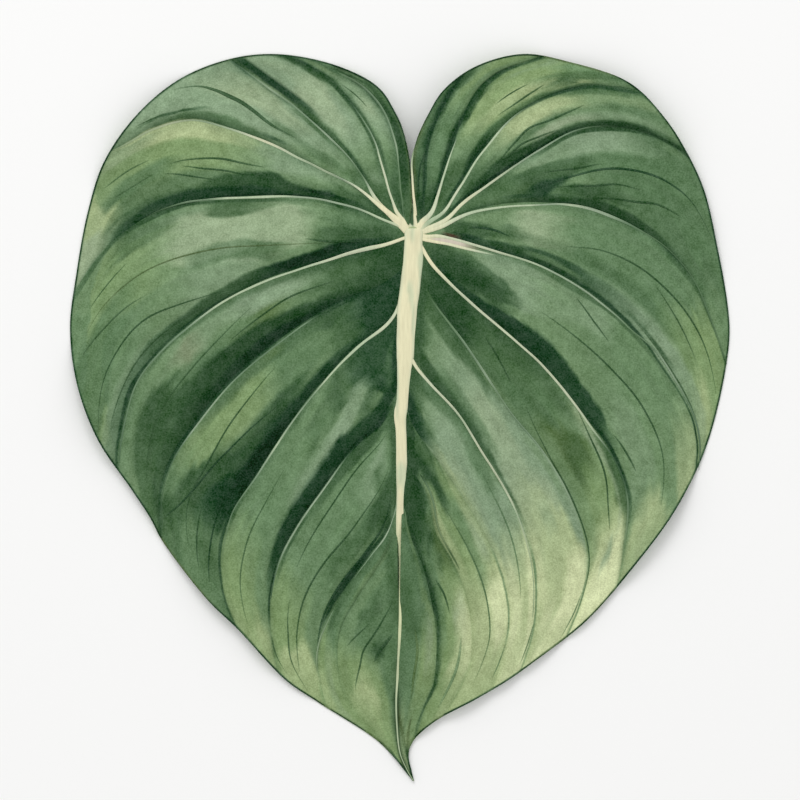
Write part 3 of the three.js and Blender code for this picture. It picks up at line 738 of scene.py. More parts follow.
    (10, "jade", 2, [.08, (.15, .4, .6, .8), (.25, .5, .5, .4), (.35, .6, .5, .7), (.45, .6, .4, .4),
     (.6, .7, .4, .9)]),
    (10, "leaf", 2, [(0, .5, .6, .3), (.1, .5, .6, .25), .2]),
    (10, "butter", 2, [.62, (.72, .65, .35, .45), (1, .65, .35, .45)]),
    (11, "mid", 3, [(0, .5, .7, 1), (.15, .5, .7, .9), (.3, .6, .5, .8), (.5, .65, .4, .8),
     (.57, .7, .3, .4), (.65, .9, .15, .6), (.8, .95, .1, .3)]),
    (11, "moss", 2, [.06, (.12, .5, .35, .9), (.2, .75, .25, .9), (.3, .85, .15, .8),
     (.36, .9, .1, .3)]),
    (11, "leaf", 2, [.14, (.2, .18, .2, .9), (.3, .12, .14, .9), (.45, .08, .12, .8), .5]),
    (11, "moss", 1.2, [.26, (.32, .45, .1, .7), (.4, .33, .12, .9), .46]),
    (11, "forest", 1.2, [(.42, .75, .06, 0), (.5, .68, .12, 1), (.58, .6, .05, 0)]),
    (11, "fresh", 3, [(.52, .3, .3, 0), (.62, .4, .4, .9), (.8, .45, .5, 1), (1, .5, .6, 1)]),
    (11, "butter", 2.5, [(.6, .45, .1, 0), (.7, .5, .2, .8), (.8, .4, .3, .4), .9]),
    (11, "leaf", 2, [(0, .6, .5, .4), (.06, .6, .5, .3), .1]),
]

RIGHT_MARKS = [
    (0, "forest", 3, [(0, .5, .7, 1), (1, .5, .7, 1)]),
    (0, "moss", 2, [.34, (.45, .35, .25, .9), (.65, .35, .2, .8), (1, .3, .3, .9)]),
    (0, "deep", 2, [(.08, .5, .4, .6), (.15, .45, .45, 1), (.22, .5, .4, .9), .32]),
    (0, "pine", 2, [(.1, .9, .1, .6), (.2, .9, .15, 1), (.36, .9, .1, .2), (.45, .85, .16, .7),
     (.6, .85, .18, 1), (.9, .85, .2, .9), (1, .9, .15, .7)]),
    (0, "ink", 1, [(.08, .97, .06, .5), (.16, .96, .1, .9), (.3, .97, .06, .7), (.5, .95, .1, .8),
     (.85, .95, .1, .9), (1, .96, .06, .6)]),
    (0, "mid", 2, [(.36, .2, .1, 0), (.45, .25, .2, .6), (.72, .25, .15, .6), .8]),
    (0, "jade", 1.5, [.48, (.55, .55, .14, .5), (.66, .5, .1, .2), (.9, .5, .1, .3)]),
    (1, "forest", 3, [(0, .5, .7, 1), (.2, .5, .7, 1), .32]),
    (1, "mid", 3, [.24, (.3, .5, .5, .8), (.5, .5, .6, .7), (.6, .35, .4, .6), .75]),
    (1, "fresh", 3, [(.58, .7, .2, 0), (.8, .6, .3, .9), (.95, .65, .3, .8)]),
    (1, "forest", 1.5, [.58, (.7, .06, .12, 1), (.8, .06, .12, .9), (1, .06, .14, 1)]),
    (1, "deep", 1.2, [.2, (.4, .9, .12, 1), (.5, .92, .1, 1), (.57, .97, .06, .5), (1, 1, .03, .6)]),
    (1, "deep", 1.2, [(.08, .9, .08, .3), (.15, .9, .12, .9), (.25, .92, .1, .9), (.36, .92, .11, 1),
     .48]),
    (1, "jade", 1.5, [.56, (.66, .82, .12, .7), (.9, .85, .1, .3)]),
    (1, "fresh", 1.5, [.58, (.66, .88, .12, .5), (.87, .84, .16, .7), (1, .85, .13, .4)]),
    (2, "moss", 3, [(.08, .5, .5, .3), (.15, .5, .5, .9), (.22, .45, .5, 1), (.3, .55, .4, .8),
     (.36, .7, .25, .3)]),
    (2, "fresh", 3, [.36, (.46, .4, .3, .6), (.6, .5, .4, .6), (1, .4, .4, .7)]),
    (2, "butter", 3, [(.42, .45, .2, 0), (.52, .45, .3, .5), (.62, .4, .32, .7), (.7, .4, .32, .8),
     (.92, .3, .2, 0)]),
    (2, "forest", 1.2, [.52, (.6, .05, .1, 1), (.7, .05, .08, 1), (.82, .03, .05, 0)]),
    (2, "deep", 1.5, [(.2, .95, .06, 0), (.3, .9, .13, 1), (.4, .88, .14, 1), (.54, .95, .08, .3)]),
    (2, "moss", 1.2, [.44, (.55, .94, .1, .8), (.7, .97, .06, .6), (.82, .98, .05, .5), .9]),
    (2, "fresh", 2, [.46, (.55, .28, .14, .8), (.75, .32, .2, .9), (.9, .3, .2, .9)]),
    (2, "jade", 2, [.86, (.95, .6, .3, .8), (1, .6, .3, .8)]),
    (2, "butter", 1.5, [(.58, .78, .08, 0), (.66, .78, .12, .7), (.8, .78, .14, .8), .92]),
    (2, "deep", 1.2, [(.46, .05, .06, 0), (.53, .06, .12, 1), (.6, .05, .1, .6), (.7, .05, .09, 1),
     (.85, .04, .06, .9), (.95, .04, .05, .5)]),
    (2, "moss", 1.5, [(.68, .66, .12, 0), (.75, .65, .14, .3), (.85, .68, .13, .8), (1, .7, .1, .4)]),
    (2, "sage", 1.5, [(.7, .17, .06, 0), (.78, .17, .08, .5), (1, .15, .1, .5)]),
    (3, "forest", 3, [(.1, .5, .4, .2), (.16, .45, .5, .8), (.22, .5, .5, 1), (.3, .6, .4, .7),
     (.38, .6, .2, 0)]),
    (3, "butter", 3, [.36, (.5, .18, .25, .9), (.62, .2, .24, .9), (.7, .25, .2, .7),
     (.76, .3, .15, .2)]),
    (3, "sage", 2, [.44, (.6, .72, .12, 1), (.7, .72, .1, .6), (.9, .72, .12, .5), 1]),
    (3, "mid", 2, [.36, (.45, .5, .09, .8), (.6, .5, .08, .8), (.72, .5, .06, .2), (.8, .5, .08, .7),
     (.95, .48, .08, .7)]),
    (3, "deep", 1.5, [(.18, .8, .12, .3), (.26, .78, .2, 1), (.42, .82, .2, 1), (.5, .9, .14, 1),
     (.6, .92, .1, .8), (.7, .93, .1, 1), (.8, .92, .1, 1), (.95, .93, .09, .9)]),
    (3, "moss", 1.5, [(.68, .05, .06, 0), (.78, .08, .12, .9), (1, .05, .1, .6)]),
    (3, "jade", 2, [(.08, .2, .2, .3), (.15, .18, .22, 1), (.25, .12, .16, 1), .31]),
    (3, "deep", 1.5, [(.1, .9, .1, .3), (.17, .88, .14, .8), (.36, .92, .1, .8), .42]),
    (3, "mist", 1.5, [(.46, .7, .05, 0), (.53, .7, .1, 1), (.65, .72, .1, .7), .72]),
    (4, "moss", 3, [(.1, .5, .5, .3), (.2, .6, .5, .7), (.28, .4, .5, .9), (.34, .5, .5, .6),
     (.4, .7, .3, .5)]),
    (4, "mid", 3, [.36, (.5, .6, .4, .7), (.65, .6, .4, .9), (.8, .5, .5, .9), (1, .4, .5, .8)]),
    (4, "sage", 2.5, [.34, (.42, .1, .14, .7), (.52, .1, .16, .6), (.6, .08, .15, 1), (.7, .08, .14, 1),
     (.88, .06, .1, 0)]),
    (4, "pine", 1.5, [(.28, .7, .1, 0), (.34, .65, .2, .8), (.38, .58, .16, 1), (.43, .5, .08, .9),
     (.48, .44, .05, .6), .56]),
    (4, "leaf", 1.2, [(.42, .56, .03, 0), (.5, .5, .07, 1), (.6, .44, .04, 0)]),
    (4, "deep", 1.5, [(.22, .92, .08, .3), (.32, .9, .12, 1), (.42, .92, .1, .9), (.5, .9, .12, 1),
     (.6, .93, .09, 1), (.74, .98, .04, 0)]),
    (4, "moss", 1.5, [.1, (.15, .9, .14, .8), .2]),
    (4, "forest", 1.5, [(.3, .3, .1, 0), (.36, .3, .15, .8), (.46, .3, .11, .7), (.56, .3, .08, .5),
     .6]),
    (4, "forest", 1.2, [(.4, .72, .06, 0), (.46, .7, .11, 1), (.55, .66, .1, .8), .6]),
    (4, "leaf", 2, [.84, (.92, .88, .14, .6), (1, .88, .14, .6)]),
    (5, "jade", 3, [.34, (.42, .5, .6, .7), (.7, .4, .5, .9), (.76, .3, .4, .3)]),
    (5, "mist", 2.5, [(.22, .4, .15, 0), (.3, .42, .3, .9), (.36, .4, .25, .5), .42]),
    (5, "forest", 2, [(.06, .4, .3, .5), (.12, .45, .25, 1), (.18, .55, .15, .9), (.24, .62, .08, .3)]),
    (5, "ink", 1.2, [(.06, .7, .1, .6), (.12, .72, .14, 1), (.18, .85, .1, .6)]),
    (5, "deep", 1.2, [(.15, .9, .08, .8), (.25, .9, .1, 1), (.42, .94, .08, .6), (.52, .96, .07, .6),
     .6]),
    (5, "fresh", 3, [(.66, .7, .2, 0), (.76, .6, .3, .6), (.86, .6, .4, .8), (1, .7, .4, .7)]),
    (5, "butter", 3, [(.82, .75, .1, 0), (.9, .75, .2, .7), (1, .75, .2, .5)]),
    (5, "umber", 1, [.04, (.08, .7, .12, .9), (.14, .7, .05, 0)]),
    (5, "sage", 1.5, [.4, (.5, .85, .12, .5), (.6, .86, .14, .8), (.72, .86, .14, 1),
     (.95, .85, .1, .4)]),
    (5, "fresh", 2, [.78, (.86, .15, .2, .8), (1, .15, .2, .8)]),
    (5, "deep", 1.5, [.2, (.25, .52, .12, .5), (.3, .55, .08, 0)]),
    (6, "forest", 3, [(0, .5, .5, .7), (.06, .6, .5, 1), (.12, .6, .4, 1), (.18, .65, .3, .9),
     (.24, .6, .2, .4), .28]),
    (6, "sage", 2.5, [.14, (.2, .2, .2, .9), (.3, .35, .3, .8), (.37, .3, .25, .3), (.5, .15, .15, .6),
     .56]),
    (6, "deep", 1.5, [(.06, .7, .2, .4), (.12, .65, .2, 1), (.18, .62, .16, 1), (.24, .58, .08, .7),
     .28]),
    (6, "pine", 1.2, [(.1, .93, .08, .5), (.2, .92, .1, 1), (.3, .9, .12, 1), (.4, .88, .14, 1),
     (.5, .9, .12, .9), (.6, .92, .1, .9), (.66, .95, .06, .4), .7]),
    (6, "butter", 3, [(.82, .75, .1, 0), (.9, .75, .2, .8), (1, .7, .3, .6)]),
    (6, "deep", 1.5, [.1, (.15, .38, .2, .6), (.2, .5, .2, .5), (.26, .6, .2, .7), (.31, .65, .12, 0)]),
    (6, "butter", 2, [(.78, .12, .1, 0), (.88, .15, .15, .5), (1, .15, .15, .8)]),
    (6, "sage", 1.5, [.58, (.68, .7, .15, .5), (.8, .7, .15, .4), .86]),
    (7, "forest", 4, [(0, .5, .7, 1), (.22, .4, .6, .9), (.3, .2, .35, .9), (.4, .05, .2, .9),
     (.46, 0, .1, .3)]),
    (7, "deep", 3, [(.06, .5, .5, .5), (.14, .5, .5, 1), (.2, .6, .4, 1), (.27, .5, .2, 0)]),
    (7, "moss", 3, [.2, (.28, .6, .4, .8), (.4, .4, .4, .8), (.5, .45, .35, .7), .56]),
    (7, "mid", 2.5, [.32, (.4, .8, .2, .9), (.48, .8, .2, .7), .52]),
    (7, "olive", 3, [.44, (.5, .8, .2, .7), (.6, .6, .35, .9), (.65, .6, .3, .6), .7]),
    (7, "forest", 3, [(.52, .55, .1, 0), (.58, .5, .2, .5), (.63, .55, .2, .4), .68]),
    (7, "fresh", 3, [.62, (.7, .55, .4, .8), (.78, .5, .5, .8), (.85, .5, .5, .4)]),
    (7, "butter", 3, [.74, (.8, .5, .4, .8), (.86, .5, .5, .9), (.9, .5, .5, .5)]),
    (7, "straw", 2.5, [.8, (.87, .55, .45, .9), (.95, .55, .5, 1), (1, .6, .5, .9)]),
    (7, "sage", 1, [.5, (.55, .04, .05, .9), (.6, .1, .08, .9), (.66, .2, .05, .7), .72]),
    (7, "moss", 1.2, [(.58, .02, .03, 0), (.66, .05, .1, 1), (.8, .08, .12, .7), (.86, .05, .08, 0)]),
    (7, "sage", 1.5, [.82, (.86, .52, .12, .8), .9]),
    (7, "butter", 1.5, [.5, (.57, .05, .08, .4), .66]),
    (7, "straw", 1.5, [.8, (.87, .1, .1, .5), (1, .1, .12, .8)]),
    (7, "leaf", 2, [.38, (.46, .85, .2, .4), (.56, .88, .18, .6), (.78, .9, .14, .5), .84]),
    (8, "sage", 4, [(.08, .5, .3, .2), (.2, .5, .4, .8), (.4, .5, .6, 1), (1, .5, .7, 1)]),
    (8, "mist", 3, [.24, (.3, .48, .2, .7), (.4, .5, .3, .7), (.5, .65, .3, .7), (.6, .6, .4, .8),
     (.7, .6, .4, .4)]),
    (8, "butter", 3, [(.46, .8, .15, 0), (.66, .7, .5, .8), (.8, .6, .6, 1), (1, .5, .6, 1)]),
    (8, "straw", 2.5, [(.74, .2, .15, 0), (.8, .22, .2, .9), (.9, .25, .3, 1), (.96, .4, .3, .5),
     (1, .6, .4, .7)]),
    (8, "straw", 3, [.6, (.7, .95, .12, .6), (.8, .92, .14, .5), .86]),
    (8, "forest", 2, [(0, .5, .6, 1), (.04, .5, .6, 1), (.08, .5, .4, .3), .1]),
    (8, "moss", 1.5, [(.05, .1, .2, .9), (.12, .12, .2, .9), (.2, .08, .18, .9), (.28, .05, .14, .9),
     (.37, .02, .06, 0)]),
    (8, "forest", 1.5, [(.05, .9, .15, 1), (.12, .9, .16, 1), (.2, .92, .16, 1), (.3, .9, .15, .9),
     (.38, .93, .1, .6), .45]),
    (8, "mid", 1.5, [.12, (.18, .72, .1, .7), (.38, .72, .08, .6), (.43, .72, .06, 0)]),
    (8, "straw", 1.5, [.8, (.86, .72, .12, .6), (.95, .72, .12, .3)]),
    (8, "sage", 2, [.58, (.64, .5, .1, .5), .7]),
    (9, "sage", 4, [(.08, .5, .4, .3), (.2, .6, .5, 1), (.5, .6, .6, 1), (.7, .5, .7, 1)]),
    (9, "butter", 4, [(.5, .7, .5, 0), (.72, .5, .7, 1), (1, .5, .7, 1)]),
    (9, "straw", 3, [.68, (.78, .7, .2, .5), (.86, .6, .2, .3), (1, .5, .4, .4)]),
    (9, "mid", 2, [(.08, .15, .15, .7), (.16, .08, .14, .8), (.26, .1, .15, .5), (.34, .2, .18, .7),
     (.42, .25, .15, .6), (.48, .3, .1, 0)]),
    (9, "forest", 1.5, [(0, .4, .5, 1), (.06, .4, .4, .9), (.1, .3, .2, .4), (.14, .2, .1, 0)]),
    (9, "pine", 1.5, [(0, .85, .25, 1), (.06, .85, .2, 1), (.12, .85, .18, .8), (.2, .9, .05, 0)]),
    (9, "moss", 1.2, [.1, (.15, .7, .12, .7), .2]),
    (9, "mid", 1.5, [.3, (.36, .3, .1, .5), .42]),
    (9, "straw", 2, [.55, (.65, .75, .16, .6), (.85, .75, .16, .5), .92]),
    (9, "mist", 2, [.2, (.3, .8, .14, .7), .55]),
    (9, "straw", 2, [.6, (.72, .15, .18, .5), (.85, .12, .15, .5), (1, .12, .12, .4)]),
    (9, "butter", 2, [.2, (.3, .92, .08, .35), (.62, .93, .08, .5), .8]),
    (10, "fresh", 4, [(.14, .5, .6, .3), (.25, .6, .6, .8), (.45, .5, .7, 1)]),
    (10, "butter", 4, [.42, (.65, .4, .7, 1), (.85, .4, .7, .9), (1, .4, .7, .7)]),
    (10, "deep", 2, [(0, .5, .7, 1), (.07, .5, .6, 1), (.11, .5, .3, 1), (.18, .48, .15, 1),
     (.24, .46, .1, .8), .28]),
    (10, "moss", 2, [(.08, .2, .2, .8), (.14, .2, .25, .8), (.2, .3, .12, .8), (.26, .35, .1, .4), .3]),
    (10, "jade", 2, [(.26, .4, .1, .4), (.35, .35, .15, .8), (.55, .45, .12, .5), .62]),
    (10, "deep", 1.5, [(.1, .6, .15, .3), (.16, .62, .2, 1), (.22, .48, .16, 1), (.28, .45, .1, .8),
     .33]),
    (10, "mist", 2, [.3, (.4, .12, .12, .7), (.5, .15, .15, .8), .58]),
    (10, "straw", 2.5, [(.55, .2, .15, 0), (.65, .22, .25, .8), (.78, .2, .2, .8), (.85, .15, .15, 0)]),
    (10, "butter", 2, [.18, (.26, .9, .12, .35), .66]),
    (11, "fresh", 4, [.3, (.42, .4, .5, .8), (.6, .4, .6, 1), (1, .4, .7, 1)]),
    (11, "butter", 3, [.46, (.55, .12, .2, .8), (.65, .15, .25, .9), (.75, .12, .2, .8),
     (.9, .15, .25, .5)]),
    (11, "deep", 2.5, [(0, .5, .7, 1), (.15, .55, .5, 1), (.2, .6, .35, .8), .3]),
    (11, "olive", 2, [.18, (.26, .15, .2, .8), (.35, .15, .2, .9), (.42, .12, .18, .6), .47]),
    (11, "mid", 2, [.22, (.3, .65, .2, .8), (.42, .72, .16, .8), (.6, .78, .12, .5), .72]),
    (11, "deep", 1.5, [(.2, .93, .08, .5), (.3, .92, .1, 1), (.42, .92, .12, 1), (.52, .93, .1, 1),
     (.62, .95, .09, .7), (.75, .96, .09, .5), .84]),
    (11, "forest", 1.5, [(.19, .35, .15, .2), (.25, .4, .18, 1), (.31, .35, .12, .3), (.36, .3, .12, .6),
     .42]),
    (11, "mist", 2, [.5, (.56, .25, .18, .7), .72]),
    (11, "butter", 2, [.7, (.75, .5, .12, .8), .82]),
    (11, "straw", 2, [.5, (.58, .22, .2, .2), (.67, .2, .22, .3), (.78, .25, .25, .3), .88]),
    (11, "jade", 2, [.1, (.16, .1, .12, .5), (.25, .1, .12, .6), .32]),
    (12, "mid", 3, [(0, .5, .7, 1), (.5, .6, .6, .9), (.7, .7, .4, .7), (1, .8, .3, .2)]),
    (12, "fresh", 2.5, [(.4, .1, .15, 0), (.6, .18, .24, 1), (.7, .18, .26, 1), (.8, .3, .3, .6)]),
    (12, "moss", 2, [.24, (.32, .78, .2, .8), (.42, .7, .25, .8), (.5, .55, .15, .8), .56]),
    (12, "mist", 2, [.4, (.5, .08, .1, .6), (.65, .1, .12, .6), .74]),
    (12, "moss", 1.5, [.2, (.26, .7, .14, .6), .32]),
    (12, "butter", 2, [.7, (.78, .88, .14, .3), (.88, .8, .25, .35), (.95, .65, .35, .6),
     (1, .65, .35, .6)]),
]

# Painted shade and painted light beside the main veins, on the dark and lit sides of their folds, and
# one rust spot: guide, colour, then stops of s, half-width and offset in mm, the tip's side being
# positive, and cover. A bare s means the same as in the strokes.
LEFT_SHADING_AND_SPOTS = [
    (1, "deep", [.15, (.3, .8, -1.9, .7), (.4, .7, -2.5, .5), (.5, .8, -1.9, .7), (.6, .6, -2.2, .5),
     (.7, .9, -3, .7), (.8, .7, -2.7, .7), (.9, .7, -1.6, .8), .95]),
    (1, "forest", [.06, (.1, .8, .4, .8), .14]),
    (2, "deep", [.06, (.1, 1, -3, .6), .15]),
    (2, "deep", [.22, (.3, .6, -2.1, .5), (.4, .7, -1.7, .9), (.7, .4, -.4, .3), (.76, .3, 0, 0)]),
    (2, "deep", [.25, (.5, .6, .9, .8), (.6, .6, .9, .8), (.7, 1, .8, 1), (.8, .6, .9, .5),
     (.9, .8, 1.1, .8), (1, .5, 1, .5)]),
    (3, "pine", [.24, (.3, .8, -1, .5), (.36, .6, -1.8, .4), (.4, .9, -2.2, .6), (.52, .4, -3, 0)]),
    (3, "moss", [.42, (.5, .9, 1.2, .8), (.6, .9, 1.2, .7), .68]),
    (3, "pine", [.58, (.65, 1.4, -4, .6), (.72, 1.8, -3.6, .9), (.8, 2, -3.6, 1), (.9, 1.8, -3.5, 1),
     (1, 1.2, -3.2, .7)]),
    (3, "mist", [.64, (.7, .7, -.6, .6), (.8, .8, -.8, .9), .96]),
    (4, "pine", [.45, (.5, 1, -3.1, .6), .56]),
    (4, "deep", [.74, (.8, 1, -5.4, .8), (.9, 1, -5.2, .7), .96]),
    (4, "butter", [.74, (.8, 1.4, .6, .7), (.9, 1.3, .4, .7), (.97, .8, .4, .3)]),
    (5, "deep", [.13, (.2, .9, 1.2, .8), (.26, .5, 1.2, .3), (.33, .5, 1.8, .2), (.4, .9, 2.2, .6),
     (.5, .5, 1.7, .4), (.6, .8, .4, .9), (.7, 1.2, 1.3, .7), (.8, .7, .5, .5), (.9, 1.2, 1.5, .5),
     (1, .7, 1.5, .3)]),
    (5, "ink", [.22, (.3, .5, -.9, .7), (.4, .4, -.9, .6), (.5, .5, -.9, .7), .55]),
    (5, "deep", [.64, (.7, .7, -1.6, .5), (.76, .5, -2.4, .4), .82]),
    (5, "ink", [.15, (.2, .9, -3, .5), (.3, 1, -4, .6), (.36, .8, -4.4, 0)]),
    (6, "pine", [.05, (.1, 1.2, -3.5, .8), (.15, .8, -2.8, .4), (.2, .8, -1.9, .9), (.25, .5, -1.1, .6),
     (.3, .7, -.4, 1), (.36, .4, -.6, .4), (.43, .4, -.6, .4), (.5, .6, -.7, .9), (.6, .6, .1, .9),
     (.7, .5, 0, .7), (.76, .6, -1, .7), (.8, 1.2, -1.7, .9), (.9, .9, -.7, .6), (1, .6, -.5, .3)]),
    (6, "deep", [.53, (.6, .5, 2.5, .6), (.7, .5, 2.4, .7), .76]),
    (7, "pine", [.05, (.1, .8, .3, .5), (.2, .7, .1, 1), (.3, .5, -.6, .5), (.36, .6, -.4, .5),
     (.4, .8, -.1, .8), (.5, .8, .5, .9), (.6, .8, .4, .8), (.7, .9, .4, 1), (.8, .9, .4, .9),
     (.92, .4, .4, 0)]),
    (7, "ink", [.14, (.2, .5, 1.7, .5), .26]),
    (7, "fresh", [.36, (.4, 2, 3.4, .4), .46]),
    (8, "pine", [.04, (.1, .7, 0, .8), (.2, 1, -.4, 1), (.3, 1, -.5, 1), (.36, .5, -.4, .4),
     (.4, .4, 0, .4), (.5, .4, -.1, .5), (.6, .5, -.3, .4), (.66, .6, -.6, .6), (.7, .8, -.7, 1),
     (.8, .9, -1, .6), (.9, .5, 0, .6), (1, .4, 0, .3)]),
    (8, "deep", [.63, (.7, .9, 1, .6), .76]),
    (8, "deep", [.34, (.4, .9, 2, .25), .6]),
    (8, "leaf", [.26, (.3, .9, -5, .5), .35]),
    (9, "ink", [(.03, .6, .6, 0), (.08, 1.2, .8, .8), (.1, 1.4, 1, .9), (.2, 1.1, .6, .8),
     (.25, .7, .3, .6), (.3, .5, 0, .8), (.4, .5, -.3, .8), (.6, .4, 0, .4), (.66, .4, 0, .5),
     (.7, .5, 0, .9), (.8, .5, 0, .7), .86]),
    (9, "deep", [.44, (.5, .8, 1.9, .6), (.6, .8, 1.9, .7), .75]),
    (9, "forest", [.66, (.7, .6, -3.5, .6), .75]),
    (10, "pine", [.12, (.2, .7, -1.2, .7), (.28, 1.1, -1.6, .9), (.35, 1.3, -1.6, 1),
     (.45, 1.3, -1.5, 1), (.52, 1.2, -1.9, .9), (.6, .6, -1.6, .9), (.66, .4, -1.6, .3), .72]),
    (10, "forest", [.44, (.5, .7, 1.8, .6), (.6, .9, 1.9, .6), .68]),
    (10, "leaf", [.2, (.3, .9, -4.8, .6), (.5, .9, -5, .5), (.6, 1.2, -3.6, .5), .76]),
    (11, "fresh", [.06, (.12, 1.2, .2, .3), (.2, 1, -.8, .3), (.3, 1.4, -1.4, .4), (.4, .8, -1.2, .2),
     (.6, 1.2, -.8, .2), (.7, 2.2, -1.6, .6), (.8, 2.4, -2, .8), (.9, 2.4, -2, .9), (1, 1.5, -1.4, .6)]),
]
